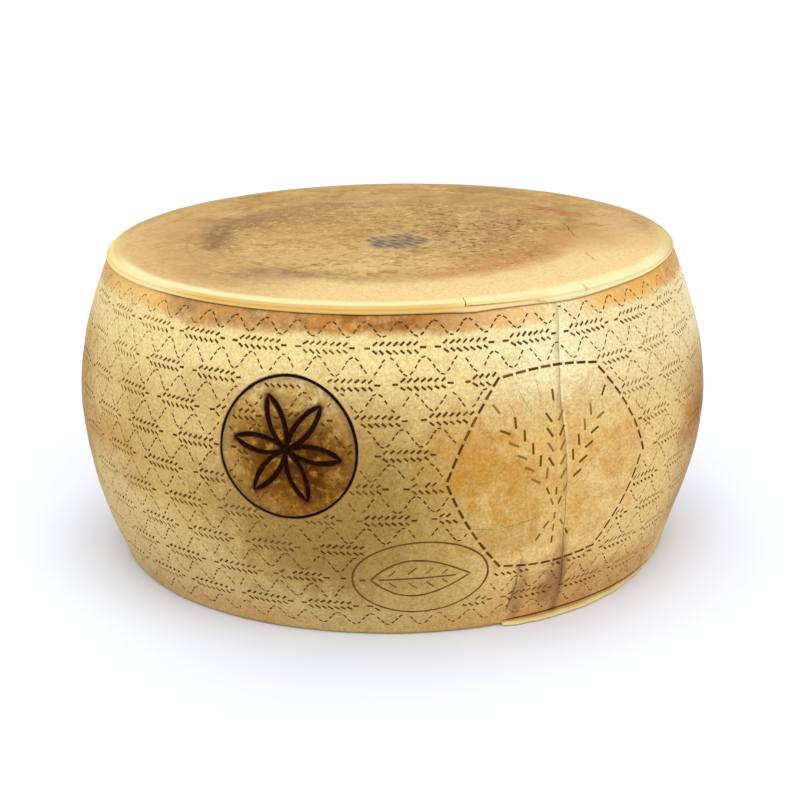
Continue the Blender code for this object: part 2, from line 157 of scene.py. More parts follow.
# Mould seam and the crease beside it, down the side: angle in degrees, height and width in mm
SEAM = (
    (31.0, 203.0, 0.5), (29.6, 180.0, 0.6), (28.5, 152.0, 0.6), (28.8, 128.0, 0.6),
    (29.0, 107.0, 0.7), (29.2, 80.0, 0.8), (29.6, 58.0, 1.0), (30.5, 36.0, 1.3), (31.0, 20.0, 0.9),
)
CREASE = ((21.8, 54.0, 0.5), (21.4, 38.0, 1.0), (21.0, 22.0, 1.7), (20.4, 10.0, 1.4))
SEAM_STEP = 0.45 * MM
SEAM_EDGE = 0.8 * MM
SEAM_FADE = 9.0 * MM
SEAM_CLEAR = 4.0 * MM
SEAM_WANDER = 0.35 * MM
# For a groove of width 1: its width and depth, and how far its cutter stands over the rind
SEAM_GROOVE = (1.0, 0.45, 0.6)
SEAM_COLUMN = math.radians(30.0)
SEAM_WARP = math.radians(15.0)

# Fold in the rim and cracks in the top, in degrees and mm
FOLD = ((13.4, 212.4), (19.8, 212.1), (25.8, 211.6), (27.4, 210.6), (29.2, 208.8))
FOLD_GROOVE = (0.8 * MM, 0.5 * MM)
CRACKS = (
    ((123.0, 48.0), (126.0, 26.0), (127.5, 4.0), (131.0, -15.0)),
    ((130.0, -58.0), (132.0, -68.0), (133.5, -78.0), (135.5, -90.5)),
)
CRACK = (0.6 * MM, 0.6 * MM)
# Nicks across the rim: angle in degrees and how far along the rim's curve. Below 0 is mm in from
# the curve's start, 0 to 1 is the share of its quarter turn, and past 1 is mm down the lip
NICKS = (
    ((14.1, -4.4), (13.9, -2.0), (13.7, 0.15), (13.5, 0.55), (13.3, 0.9), (13.2, 1.3)),
    ((39.15, -1.7), (38.95, 0.2), (38.7, 0.45), (38.45, 0.75), (38.3, 1.1), (38.2, 2.4)),
)
NICK = (0.6 * MM, 0.7 * MM)
# Scratches on the side: start and end as angle and height, and width
SCRATCHES = (
    (-58.0, 184.0, -52.0, 176.0, 0.7), (-55.0, 187.0, -50.5, 180.5, 0.5),
    (20.5, 166.0, 23.0, 146.0, 0.7), (24.2, 170.0, 25.0, 152.0, 0.5),
    (18.8, 158.0, 20.8, 141.0, 0.5), (9.0, 79.0, 17.0, 75.0, 0.6), (17.0, 75.0, 24.0, 79.0, 0.6),
    (-38.0, 60.0, -33.0, 57.0, 0.5), (52.0, 120.0, 55.0, 104.0, 0.6),
)
SCRATCH_DEPTH = 0.28 * MM

# Burnt rosette
ROSETTE_AT = (-17.3, 130.0)
ROSETTE_TILT = math.radians(-8.0)
ROSETTE_RING = 44.0 * MM
ROSETTE_PETAL = 35.0 * MM
PETAL_TURNS = [math.radians(60 * k) for k in range(6)]
PETAL_CENTRES = [(ROSETTE_PETAL * math.cos(t), ROSETTE_PETAL * math.sin(t)) for t in PETAL_TURNS]
RING_BURN = (2.1 * MM, 1.1 * MM)
PETAL_BURN = (3.5 * MM, 1.2 * MM)
BURN_UNEVEN = 0.16

# Sheaf in its dashed frame. A dash is its length, width and depth, and the shares say where on an
# ear's line, from its foot at 0 to its tip at 1, the first one lies and how far on the next is
FRAME_AT = (27.2, 109.0)
FRAME_HALF_WIDTH = 74.0 * MM
FRAME_HALF_HEIGHT = 62.0 * MM
FRAME_HIGH = FRAME_HALF_HEIGHT / math.cos(math.radians(30))
FRAME_ROUNDING = 0.35
FRAME_DASH = (7.8 * MM, 2.4 * MM, 1.0 * MM)
FRAME_PITCH = 9.2 * MM
SEED_DASH = (8.2 * MM, 2.2 * MM, 1.0 * MM)
STEM_DASH = (6.0 * MM, 1.8 * MM, 0.8 * MM)
TIE_DASH = (15.0 * MM, 2.0 * MM, 0.9 * MM)
SEED_PAIRS = 5
SEED_SHARES = (0.47, 0.092)
STEM_DASHES = 5
STEM_SHARES = (0.02, 0.085)
TIP_SHARE = 0.97
TIP_TURN = 0.6
SEED_SPREAD = 4.4 * MM
SEED_TURN = math.radians(32.0)
SHEAF_LEANS = (-1, 0, 1)
EAR_FOOT = -50.0 * MM
EAR_LENGTH = 100.0 * MM
EAR_BEND = 36.0 * MM
TIP_BEND = 20.0 * MM
STEM_BEND = 60.0 * MM
OUTER_SHORTER = 0.08
TIE_SHARE = 0.2
TIE_HEIGHTS = (-32.0 * MM, -27.5 * MM)

# Leaf in an oval
OVAL_AT = (4.2, 44.5)
OVAL_TILT = math.radians(2.0)
OVAL_HALF = (42.5 * MM, 26.0 * MM)
OVAL_WIDTH = 1.5 * MM
OVAL_DEPTH = 0.8 * MM
OVAL_LINING = ((-0.36, -0.36), (0.0, -1.1), (0.36, -0.36))
LEAF_HALF_LENGTH = 31.0 * MM
LEAF_HALF_WIDTH = 13.0 * MM
LEAF_VEINS = 4
VEIN_START = -0.72
VEIN_STEP = 0.36
VEIN_REACH = 0.62
VEIN_TURN = math.radians(42.0)

# Pricked rows: small ears lying on their sides, with a dotted wave between two rows
ROW_TOP = 191.0 * MM
ROW_PITCH = 21.0 * MM
ROWS = 9
EARS_A_TURN = 30
SEED_PRICK = (4.3 * MM, 1.95 * MM, 0.9 * MM)
WAVE_PRICK = (3.1 * MM, 1.4 * MM, 0.8 * MM)
EAR_PAIRS = 7
EAR_PITCH = 4.1 * MM
EAR_START = -10.0 * MM
EAR_STEM = -14.6 * MM
EAR_SPREAD = 2.4 * MM
EAR_TAPER = 0.15
EAR_TURN = math.radians(39.0)
WAVES_A_TURN = 60
WAVE_HEIGHT = 5.2 * MM
OUTER_WAVE_HEIGHT = 4.16 * MM
WAVE_PITCH = 4.0 * MM
JITTER = 0.1 * MM
TURN_JITTER = math.radians(2.5)
WEAR_JITTER = 0.12
LENGTH_SPREAD = (0.86, 1.06)
WIDTH_SPREAD = (0.88, 1.08)
PRICK_SEED = 12
CUTTER_RISE = 0.25
ROW_CLEAR = 3.2 * MM
SEAM_FREE = 1.3 * MM
DASH_GAP = 0.03 * MM
TOUCH_REACH = 1.6 * MM
# Where the rind is rubbed: angle and reach in degrees, and by how much. A prick is lost with a share
# of chance and more of it where it is well rubbed, and past each limit its tone is one lighter
RUBBED_FLANKS = ((60.0, 34.0, 0.75), (-64.0, 28.0, 0.4))
LOST_CHANCE = 0.012
LOST_WHERE_RUBBED = 0.06
TONE_LIMITS = (0.42, 0.78)
TONE_NARROWER = 0.08
TONE_SHALLOWER = 0.15

# Casein plate and its seat
PLATE_MIDDLE = [(PLATE_LOW[k] + PLATE_HIGH[k]) / 2 for k in range(3)]
PLATE_HALF = [(PLATE_HIGH[k] - PLATE_LOW[k]) / 2 for k in range(3)]
PLATE_LAPPED = 0.25 * MM
PLATE_SEAT_GAP = 0.3 * MM
PLATE_SEAT_SIDES = 72
PLATE_GRID = (120, 104)
RIB_PITCH = 6.6 * MM
RIB_TURN = math.radians(35.0)
RIB_HEIGHT = 0.65 * MM
RIB_FOOT = 0.85 * MM
PLATE_EDGE_RISE = 0.25 * MM
# Where its edge starts and how wide it is, and where the ribs end and over how far, as shares of the
# radius. Then the edge's ragged waves: share of the radius, times round and phase
PLATE_EDGE = (0.72, 0.22)
RIBS_END = (0.95, 0.14)
PLATE_RAGGED = ((0.08, 5, 0.6), (0.06, 11, 0.0), (0.04, 23, 2.0))

# Small pits of the top face
PITS = 90
PIT_SIDES = 7
RAGGED = (0.8, 1.1)
PIT_SIZES = (0.35 * MM, 1.0 * MM)
PIT_STRETCHES = (1.0, 2.4)
PIT_REACH = (0.02, 0.176)
PIT_APART = 6.0 * MM
PIT_OFF_CRACK = 12.0 * MM
PIT_OFF_PLATE = 1.15

# Stage
FLOOR_WHITE = "#e3e8f2"
WORLD_STRENGTH = 0.45
# Large soft lamps: angle round the wheel and rise in degrees, power, and spread in degrees
LAMPS = (
    ("key_front", 20.0, 50.0, 1.8, 70.0),
    ("fill_left", -60.0, 35.0, 0.8, 80.0),
    ("back_soft", 180.0, 65.0, 1.3, 60.0),
)

# Camera, from the outline in the 800 by 800 photograph
PHOTO_SIZE = 800
VIEW_ELEVATION = math.radians(17.12)
VIEW_ROLL = math.radians(-1.05)
VIEW_DISTANCE = 6.0 * WIDEST_RADIUS
VIEW_FOCAL = 1842.0
VIEW_CENTRE = (392.3, 382.0)
SENSOR = 36.0


def hexed(code):
    """An sRGB hex colour as linear red, green, blue and alpha."""
    parts = [int(code[k : k + 2], 16) / 255 for k in (1, 3, 5)]
    linear = [p / 12.92 if p <= 0.04045 else ((p + 0.055) / 1.055) ** 2.4 for p in parts]
    return (*linear, 1.0)


def per_metre(size_mm):
    """The texture scale that gives features of this size."""
    return 1000.0 / size_mm


def bump(value, centre, reach):
    """1 at the centre, falling smoothly to 0 at the reach."""
    share = np.minimum(np.abs(value - centre) / reach, 1.0)
    return 0.5 + 0.5 * np.cos(np.pi * share)


def bump_at(angle, degrees, reach):
    """1 at so many degrees round the wheel, falling to 0 at the reach in degrees."""
    return bump(angle, math.radians(degrees), math.radians(reach))


# The shape of the rind

def side_radius(z):
    """Radius of the bulging side at a height, before any unevenness."""
    z = np.asarray(z, float)
    above = np.clip((z - BULGE_HEIGHT) / (HEIGHT - BULGE_HEIGHT), 0.0, None) ** UPPER_FULLNESS
    below = np.clip((BULGE_HEIGHT - z) / BULGE_HEIGHT, 0.0, None) ** LOWER_FULLNESS
    return WIDEST_RADIUS - (WIDEST_RADIUS - EDGE_RADIUS) * (above + below)


def wave(angle, z, around, upward, phase):
    return np.sin(around * angle + upward * z + phase)


def unevenness(angle, z):
    """How far the side stands out of the turned shape, without its small lumps."""
    out = sum(high * wave(angle, z, *form) for high, *form in SIDE_WAVES)
    for high, at, wide, level, tall in SIDE_DENTS:
        out = out + high * bump_at(angle, at, wide) * bump(z, level * MM, tall * MM)
    return out * MM


def lumps(angle, z):
    """The small hand-made lumps of the pressed rind."""
    waves = ((high, wave(angle, z, *one), wave(angle, z, *other)) for high, one, other in SIDE_LUMPS)
    return sum(high * one * other for high, one, other in waves) * MM


def seam_angle(z):
    """Angle of the mould seam at a height."""
    heights = [h * MM for _, h, _ in reversed(SEAM)]
    return np.interp(z, heights, [math.radians(a) for a, _, _ in reversed(SEAM)])


def rind_radius(angle, z):
    """Radius of the finished side, with one edge of the seam standing over the other."""
    past = (np.asarray(angle) - seam_angle(z)) * WIDEST_RADIUS
    rise = 1 / (1 + np.exp(-np.clip(past / SEAM_EDGE, -25, 25)))
    step = SEAM_STEP * np.exp(-np.clip(past, 0, None) / SEAM_FADE) * rise
    step = step * (np.asarray(z) < LINE_Z - SEAM_CLEAR)
    return side_radius(z) + unevenness(angle, z) + lumps(angle, z) - step


def rind_frame(angle, z):
    """Places on the rind, with the directions right, up and outward there, as arrays."""
    angle, z = np.atleast_1d(angle).astype(float), np.atleast_1d(z).astype(float)
    radius = rind_radius(angle, z)
    sin, cos, nil = np.sin(angle), np.cos(angle), np.zeros_like(angle)
    slope = (side_radius(z + MM) - side_radius(z - MM)) / (2 * MM)
    outward = np.stack([sin, -cos, -slope], 1)
    outward /= np.linalg.norm(outward, axis=1, keepdims=True)
    right = np.stack([cos, sin, nil], 1)
    return np.stack([radius * sin, -radius * cos, z], 1), right, np.cross(outward, right), outward


def line_sag(angle):
    """How far the groove under the rim dips as it goes round."""
    dips = sum(deep * bump_at(angle, at, wide) for deep, at, wide in LINE_DIPS)
    return (dips + 0.3 * np.sin(3 * angle + 0.5)) * MM


def line_strength(angle):
    """How dark the groove under the rim is."""
    places, levels = zip(*LINE_DARKNESS)
    return np.interp(np.degrees(angle), places, levels)


def top_height(x, y):
    """Height of the dished, uneven top face."""
    share = np.minimum(np.hypot(x, y) / TOP_REACH, 1.0)
    waves = TOP_WAVE * np.sin(31 * x + 1.0) * np.cos(27 * y) + TOP_RIPPLE * np.sin(55 * (x + y))
    return HEIGHT - DISH_DEPTH * (1 - share**2) + waves * (1 - share**4) * share


def top_lumps(x, y):
    """Shallow dents of the top face, in rings as the cloth and the turning leave them."""
    radius = np.hypot(x, y)
    rings = np.sin(radius * 420 + 2 * np.sin(9 * np.arctan2(x, -y))) * np.sin(radius * 57 + 0.7)
    dents = np.sin(83 * x + 40 * y) * np.sin(91 * y - 37 * x + 1.3)
    return (TOP_RING * rings + TOP_DENT * dents) * bump(radius, 0.10, 0.10)


# Marks, drawn flat and then laid on the rind

def laid(at, tilt=0.0):
    """A function that turns a flat mark's places (right, up) into angles and heights."""
    angle, height = math.radians(at[0]), at[1] * MM
    radius = float(side_radius(height))

    def place(right, up):
        turned_right = right * math.cos(tilt) - up * math.sin(tilt)
        turned_up = right * math.sin(tilt) + up * math.cos(tilt)
        return angle + turned_right / radius, height + turned_up

    return place


def arc(centre, radius, start, end, steps):
    angles = [start + (end - start) * k / steps for k in range(steps + 1)]
    return [(centre[0] + radius * math.cos(a), centre[1] + radius * math.sin(a)) for a in angles]


def spaced(points, pitch):
    """Places evenly spaced along a closed outline, each with the line's direction there."""
    closed = points + points[:1]
    lengths = [math.dist(a, b) for a, b in zip(closed, closed[1:])]
    count = round(sum(lengths) / pitch)
    step = sum(lengths) / count
    found, gone, k = [], 0.0, 0
    for n in range(count):
        while gone + lengths[k] < n * step:
            gone += lengths[k]
            k += 1
        share = (n * step - gone) / lengths[k]
        (x0, y0), (x1, y1) = closed[k], closed[k + 1]
        found.append((x0 + (x1 - x0) * share, y0 + (y1 - y0) * share, math.atan2(y1 - y0, x1 - x0)))
    return found


def frame_size(angle):
    """Size of the soft-cornered hexagon in a direction, as a share of its half width."""
    near = (angle % math.radians(60)) - math.radians(30)
    straight = math.cos(math.radians(30)) / math.cos(near)
    return straight * (1 - FRAME_ROUNDING) + FRAME_ROUNDING * 0.95


def frame_outline():
    """A hexagon with flat top and bottom and soft corners."""
    places = [(math.radians(2 * k), frame_size(math.radians(2 * k))) for k in range(180)]
    return [(FRAME_HALF_WIDTH * s * math.cos(a), FRAME_HIGH * s * math.sin(a)) for a, s in places]


def ear_place(lean, share):
    """A place on the bent line of one ear and its stem, and the line's direction there."""

    def line(share):
        above = max(share - TIE_SHARE, 0.0)
        below = max(TIE_SHARE - share, 0.0)
        right = lean * (above * EAR_BEND + above**2 * TIP_BEND + below * STEM_BEND)
        return right, (EAR_FOOT + EAR_LENGTH * share) * (1 - OUTER_SHORTER * abs(lean))

    right, up = line(share)
    ahead = line(share + 0.01)
    return right, up, math.atan2(ahead[1] - up, ahead[0] - right)


def frame_and_sheaf():
    """Dashes of the frame and of the three tied ears in it, as right, up, turn and size."""
    found = [(*place, FRAME_DASH) for place in spaced(frame_outline(), FRAME_PITCH)]
    for lean in SHEAF_LEANS:
        for n in range(STEM_DASHES):
            if n != 2 or lean == 0:
                found.append((*ear_place(lean, STEM_SHARES[0] + STEM_SHARES[1] * n), STEM_DASH))
        for n in range(SEED_PAIRS):
            right, up, turn = ear_place(lean, SEED_SHARES[0] + SEED_SHARES[1] * n)
            for hand in (-1, 1):
                seed_right = right - math.sin(turn) * hand * SEED_SPREAD
                seed_up = up + math.cos(turn) * hand * SEED_SPREAD
                found.append((seed_right, seed_up, turn + hand * SEED_TURN, SEED_DASH))
        right, up, _ = ear_place(lean, TIP_SHARE)
        found.append((right, up, math.pi / 2 - TIP_TURN * lean, SEED_DASH))
    return found + [(0.0, up, 0.0, TIE_DASH) for up in TIE_HEIGHTS]


def leaf_edge(along):
    """Half width of the leaf at a distance from its middle."""
    share = along / LEAF_HALF_LENGTH
    return LEAF_HALF_WIDTH * (1 - share**2) * (1 - 0.25 * share)


def leaf_veins():
    """Side veins of the leaf, as right, up, turn and size."""
    found = []
    for k in range(LEAF_VEINS):
        start = LEAF_HALF_LENGTH * (VEIN_START + VEIN_STEP * k)
        for hand in (-1, 1):
            reach = VEIN_REACH * leaf_edge(start + 5 * MM)
            size = (reach, OVAL_WIDTH * 0.9, OVAL_DEPTH)
            found.append((start + 0.75 * reach, hand * 0.68 * reach, hand * VEIN_TURN, size))
    return found


def rosette_lines():
    """Ring and six crossing arcs of the rosette, each with whether it is closed and its burn."""
    lines = [(arc((0.0, 0.0), ROSETTE_RING, 0.0, TURN, 120)[:-1], True, RING_BURN)]
    spread = math.radians(60)
    for turn, centre in zip(PETAL_TURNS, PETAL_CENTRES):
        petal = arc(centre, ROSETTE_PETAL, turn + math.pi - spread, turn + math.pi + spread, 40)
        lines.append((petal, False, PETAL_BURN))
    return lines


def burn_widths(points, closed):
    """How much wider or narrower each place of a burnt line is than its full width."""
    sizes = []
    for k, (right, up) in enumerate(points):
        wander = math.sin(170 * right + 40 * up) * math.sin(130 * up - 60 * right + 1.0)
        ends = 1.0 if closed else min(1.0, 0.35 + 0.22 * min(k, len(points) - 1 - k))
        sizes.append((1 + BURN_UNEVEN * wander) * ends)
    return sizes


def leaf_lines():
    """Oval, leaf outline and middle rib, each with whether it is closed."""
    oval = [(x * OVAL_HALF[0], y * OVAL_HALF[1]) for x, y in arc((0, 0), 1.0, 0, TURN, 96)[:-1]]
    steps = [LEAF_HALF_LENGTH * (k / 14 - 1) for k in range(29)]
    outline = [(x, leaf_edge(x)) for x in steps] + [(x, -leaf_edge(x)) for x in steps[-2:0:-1]]
    rib = [(-LEAF_HALF_LENGTH - 7 * MM + 2 * MM * k, 0.0) for k in range(3)]
    middle = [(-LEAF_HALF_LENGTH + 5 * MM + 3 * MM * k, 0.0) for k in range(17)]
    return [(oval, True), (outline, True), (rib, False), (middle, False)]


def near_burnt_lines(right, up):
    """True where a place in the rosette is too near a burnt line for a prick."""
    cos, sin = math.cos(-ROSETTE_TILT), math.sin(-ROSETTE_TILT)
    right, up = right * cos - up * sin, right * sin + up * cos
    far = math.hypot(right, up)
    if abs(far - ROSETTE_RING) < ROW_CLEAR:
        return True
    if far > ROSETTE_PETAL + ROW_CLEAR:
        return False
    offs = [abs(math.dist((right, up), centre) - ROSETTE_PETAL) for centre in PETAL_CENTRES]
    return min(offs) < ROW_CLEAR


def on_marks(angle, z):
    """True where a large mark has taken the place of the pricked rows."""
    def flat(at):
        height = at[1] * MM
        return (angle - math.radians(at[0])) * float(side_radius(height)), z - height

    if near_burnt_lines(*flat(ROSETTE_AT)):
        return True
    right, up = flat(OVAL_AT)
    if math.hypot(right / (OVAL_HALF[0] + ROW_CLEAR), up / (OVAL_HALF[1] + ROW_CLEAR)) < 1:
        return True
    right, up = flat(FRAME_AT)
    size = frame_size(math.atan2(up / FRAME_HIGH, right / FRAME_HALF_WIDTH))
    if math.hypot(right / (FRAME_HALF_WIDTH + ROW_CLEAR), up / (FRAME_HIGH + ROW_CLEAR)) < size:
        return True
    return abs(angle - float(seam_angle(z))) * WIDEST_RADIUS < SEAM_FREE


def row_of_ears(row):
    """Small ears of grain lying on their sides: a stem, pairs of seeds and a tip."""
    z = ROW_TOP - ROW_PITCH * row
    radius = float(side_radius(z))
    found = []
    for n in range(EARS_A_TURN):
        middle = TURN * (n + row * 0.37) / EARS_A_TURN
        for k in range(EAR_PAIRS):
            along = EAR_START + EAR_PITCH * k
            taper = 1.0 - EAR_TAPER * max(along / (20 * MM), 0)
            for hand in (-1, 1):
                up = hand * EAR_SPREAD * taper
                size = (SEED_PRICK[0] * taper, *SEED_PRICK[1:])
                found.append((middle + along / radius, z + up, hand * EAR_TURN, size))
        for along in (EAR_STEM, EAR_START + EAR_PITCH * EAR_PAIRS):
            found.append((middle + along / radius, z, 0.0, SEED_PRICK))
    return found


def row_of_waves(row):
    """A dotted wave in the gap over a row, or under the last one."""
    z = ROW_TOP + ROW_PITCH * (0.5 - row)
    high = WAVE_HEIGHT if 0 < row < ROWS else OUTER_WAVE_HEIGHT
    radius = float(side_radius(z))
    span = TURN * radius
    wave = WAVES_A_TURN / radius
    found, x = [], 0.0
    while x < span - 0.5 * WAVE_PITCH:
        slope = high * wave * math.cos(wave * x + row * 2.1)
        up = high * math.sin(wave * x + row * 2.1)
        found.append((x / radius, z + up, math.atan(slope), WAVE_PRICK))
        x += WAVE_PITCH / math.hypot(1.0, slope)
    return found


def pricked_rows():
    """Ears and waves of the pricked rows, as angle, height, turn and size."""
    rows = [row_of_ears(row) for row in range(ROWS)] + [row_of_waves(row) for row in range(ROWS + 1)]
    return [dash for row in rows for dash in row]


def wear(angle, z):
    """How worn the rind is, from 0 to 1: rubbed on both flanks, sound in the middle."""
    worn = 0.75 * (0.5 + 0.5 * math.sin(3.1 * angle + 19 * z + 0.8) * math.sin(5.3 * angle - 31 * z))
    for at, reach, most in RUBBED_FLANKS:
        worn += float(bump_at(angle, at, reach)) * most
    return min(worn, 1.0)


def all_dashes():
    """Every dash on the side: angle, height, turn, length, width, depth and tone, as an array.

    Tone is 0 for a dark dash, 1 for a middling and 2 for a worn one. Dashes that would touch an
    earlier one are left out.
    """
    draw = random.Random(PRICK_SEED)
    rows = []
    for at, tilt, dashes in ((FRAME_AT, 0.0, frame_and_sheaf()), (OVAL_AT, OVAL_TILT, leaf_veins())):
        place = laid(at, tilt)
        for right, up, turn, size in dashes:
            angle, z = place(right, up)
            tone = draw.choice((0, 0, 1)) + (size != FRAME_DASH)
            rows.append((angle, z, turn + tilt, *size, tone))
    for angle, z, turn, size in pricked_rows():
        angle = (angle + math.pi) % TURN - math.pi
        angle += draw.gauss(0, JITTER) / WIDEST_RADIUS
        z += draw.gauss(0, JITTER)
        turn += draw.gauss(0, TURN_JITTER)
        worn = wear(angle, z) + draw.gauss(0, WEAR_JITTER)
        length, width, depth = size
        length *= draw.uniform(*LENGTH_SPREAD)
        width *= draw.uniform(*WIDTH_SPREAD)
        lost = draw.random() < LOST_CHANCE + LOST_WHERE_RUBBED * max(worn - 0.8, 0)
        if lost or on_marks(angle, z):
            continue
        tone = sum(worn >= limit for limit in TONE_LIMITS)
        width *= 1 - TONE_NARROWER * tone
        depth *= 1 - TONE_SHALLOWER * tone
        rows.append((angle, z, turn, length, width, depth, tone))
    return without_touching(np.array(rows))


def dash_ends(rows):
    """Ends of each dash's middle line on the unrolled side, half a width short of its tips."""
    middle = np.stack([rows[:, 0] * WIDEST_RADIUS, rows[:, 1]], 1)
    half = np.stack([np.cos(rows[:, 2]), np.sin(rows[:, 2])], 1) * (rows[:, 3:4] - rows[:, 4:5]) / 2
    return middle - half, middle + half


def without_touching(rows):
    """The dashes, less each one that would touch an earlier one."""
    starts, ends = dash_ends(rows)
    shares = np.linspace(0, 1, 5)[:, None]
    tree = KDTree(len(rows) * len(shares))
    for k in range(len(rows)):
        for n, spot in enumerate(starts[k] + (ends[k] - starts[k]) * shares):
            tree.insert((*spot, 0.0), k * len(shares) + n)
    tree.balance()
    kept = np.ones(len(rows), bool)
    for k in range(len(rows)):
        for spot in starts[k] + (ends[k] - starts[k]) * shares:
            reach = rows[k, 4] / 2 + TOUCH_REACH
            for _, index, far in tree.find_range((*spot, 0.0), reach):
                other = index // len(shares)
                clear = (rows[k, 4] + rows[other, 4]) / 2 * (1 + CUTTER_RISE) + DASH_GAP
                if other < k and kept[other] and far < clear:
                    kept[k] = False
    return rows[kept]


# Mesh tools

# How dark the bottom of each kind of groove is, from 0 to 1
GROOVE_DARKNESS = {
    "seam": 0.3, "crease": 0.45, "furrow": 0.85, "fold": 0.35, "scratch": 0.45, "crack": 0.5,
    "nick": 0.85, "pit": 0.65, "burn": 0.4, "leaf": 0.7, "dash": 0.8, "plate_seat": 0.3,
}


def deselect_all():
    if bpy.context.mode != "OBJECT":
        bpy.ops.object.mode_set(mode="OBJECT")
    bpy.ops.object.select_all(action="DESELECT")


def make_active(piece):
    deselect_all()
    piece.select_set(True)
    bpy.context.view_layer.objects.active = piece


def vertex_places(piece):
    places = np.empty(len(piece.data.vertices) * 3)
    piece.data.vertices.foreach_get("co", places)
    return places.reshape(-1, 3)


def set_places(piece, places):
    piece.data.vertices.foreach_set("co", np.ascontiguousarray(places, float).ravel())
    piece.data.update()


def set_attribute(piece, name, values):
    """A number for each vertex, that the piece's material reads."""
    found = piece.data.attributes.get(name) or piece.data.attributes.new(name, "FLOAT", "POINT")
    found.data.foreach_set("value", np.ascontiguousarray(values, np.float32))


def mark_layer(piece, lip, groove):
    """Says how far all of a cutter or added part is cream lip and dark groove."""
    for name, value in (("lip", lip), ("groove", groove)):
        set_attribute(piece, name, np.full(len(piece.data.vertices), value))


def face_outwards(piece):
    make_active(piece)
    bpy.ops.object.mode_set(mode="EDIT")
    bpy.ops.mesh.select_all(action="SELECT")
    bpy.ops.mesh.normals_make_consistent(inside=False)
    bpy.ops.object.mode_set(mode="OBJECT")


def mesh_piece(name, places, faces):
    """A mesh from places and faces, with its faces turned outwards."""
    mesh = bpy.data.meshes.new(name)
    mesh.from_pydata(np.asarray(places).tolist(), [], faces)
    piece = bpy.data.objects.new(name, mesh)
    bpy.context.collection.objects.link(piece)
    face_outwards(piece)
    return piece


def lofted(rings, closed=False):
    """Points and faces of a skin over rings of places, with its ends capped unless it is closed."""
    rings = np.asarray(rings)
    count, sides = rings.shape[:2]
    faces = []
    for k in range(count if closed else count - 1):
        near, far = k * sides, (k + 1) % count * sides
        for n in range(sides):
            after = (n + 1) % sides
            faces.append((near + n, near + after, far + after, far + n))
    if not closed:
        faces += [tuple(range(sides)), tuple(range((count - 1) * sides, count * sides))]
    return rings.reshape(-1, 3), faces


def swept(places, outward, section, closed=False, sizes=None):
    """Points and faces of a section carried along a line, across it and outward from each place."""
    if closed:
        along = np.roll(places, -1, 0) - np.roll(places, 1, 0)
    else:
        along = np.gradient(places, axis=0)
    across = np.cross(outward, along)
    across /= np.linalg.norm(across, axis=1, keepdims=True)
    sizes = np.ones(len(places)) if sizes is None else np.asarray(sizes)
    lines = [places + (across * side + outward * out) * sizes[:, None] for side, out in section]
    return lofted(np.stack(lines, 1), closed)


def rind_sweep(path, section, closed=False, sizes=None):
    """A section carried along a line on the rind, which is given as angles and heights."""
    path = np.asarray(path, float)
    places, _, _, outward = rind_frame(path[:, 0], path[:, 1])
    return swept(places, outward, section, closed, sizes)


def joined(parts):
    """Several sets of points and faces as one."""
    points, faces, start = [], [], 0
    for part_points, part_faces in parts:
        points.append(part_points)
        faces.extend(tuple(start + n for n in face) for face in part_faces)
        start += len(part_points)
    return np.concatenate(points), faces


def groove_section(width, depth, above=0.7 * MM):
    """Section of a cutter that leaves a rounded groove and stands this far over the rind."""
    return (
        (-0.55 * width, above), (-0.5 * width, 0.0), (-0.33 * width, -0.72 * depth), (0.0, -depth),
        (0.33 * width, -0.72 * depth), (0.5 * width, 0.0), (0.55 * width, above),
    )


def lining_section(width, depth):
    """Section of the thin dark layer that lies in such a groove."""
    return (
        (-0.44 * width, -0.34 * depth), (-0.37 * width, -0.8 * depth), (0.0, -1.12 * depth),
        (0.37 * width, -0.8 * depth), (0.44 * width, -0.34 * depth), (0.27 * width, -0.7 * depth),
        (0.0, -0.9 * depth), (-0.27 * width, -0.7 * depth),
    )


def dash_shape(sink=0.0):
    """One dash as a copy's template: a rectangle over a ridge, for length, width and depth of 1.

    With sink 0 it is the cutter, whose top stands over the rind and is wider than the dash by as
    much. Otherwise it is the dark filling, whose flat top lies that share of the depth down.
    """
    ridge = 0.3
    if sink:
        top, deep, wide, long = -sink, -1.06, 0.5 * (1 - sink) + 0.04, 0.5 - 0.2 * sink
    else:
        top, deep, wide, long = CUTTER_RISE, -1.0, 0.5 * (1 + CUTTER_RISE), 0.5 + 0.2 * CUTTER_RISE
    places = [
        (-long, -wide, top), (long, -wide, top), (long, wide, top), (-long, wide, top),
        (-ridge, 0.0, deep), (ridge, 0.0, deep),
    ]
    return np.array(places), [(0, 1, 2, 3), (0, 4, 5, 1), (1, 5, 2), (2, 5, 4, 3), (3, 4, 0)]


def dash_copies(rows, sink=0.0):
    """The template copied to every dash."""
    template, faces = dash_shape(sink)
    places, right, up, outward = rind_frame(rows[:, 0], rows[:, 1])
    cos, sin = np.cos(rows[:, 2])[:, None], np.sin(rows[:, 2])[:, None]
    along, across = right * cos + up * sin, up * cos - right * sin
    length, width, depth = rows[:, 3:4], rows[:, 4:5], rows[:, 5:6]
    points = [
        places + along * x * length + across * y * width + outward * z * depth for x, y, z in template
    ]
    count = len(template)
    copies = [tuple(count * k + n for n in face) for k in range(len(rows)) for face in faces]
    return np.stack(points, 1).reshape(-1, 3), copies


def boolean(piece, other, operation):
    """Cuts the piece with the other or joins it on, and removes the other."""
    cut = piece.modifiers.new("cut", "BOOLEAN")
    cut.operation = operation
    cut.solver = "MANIFOLD"
    cut.material_mode = "TRANSFER"
    cut.object = other
    make_active(piece)
    bpy.ops.object.modifier_apply(modifier=cut.name)
    bpy.data.objects.remove(other, do_unlink=True)


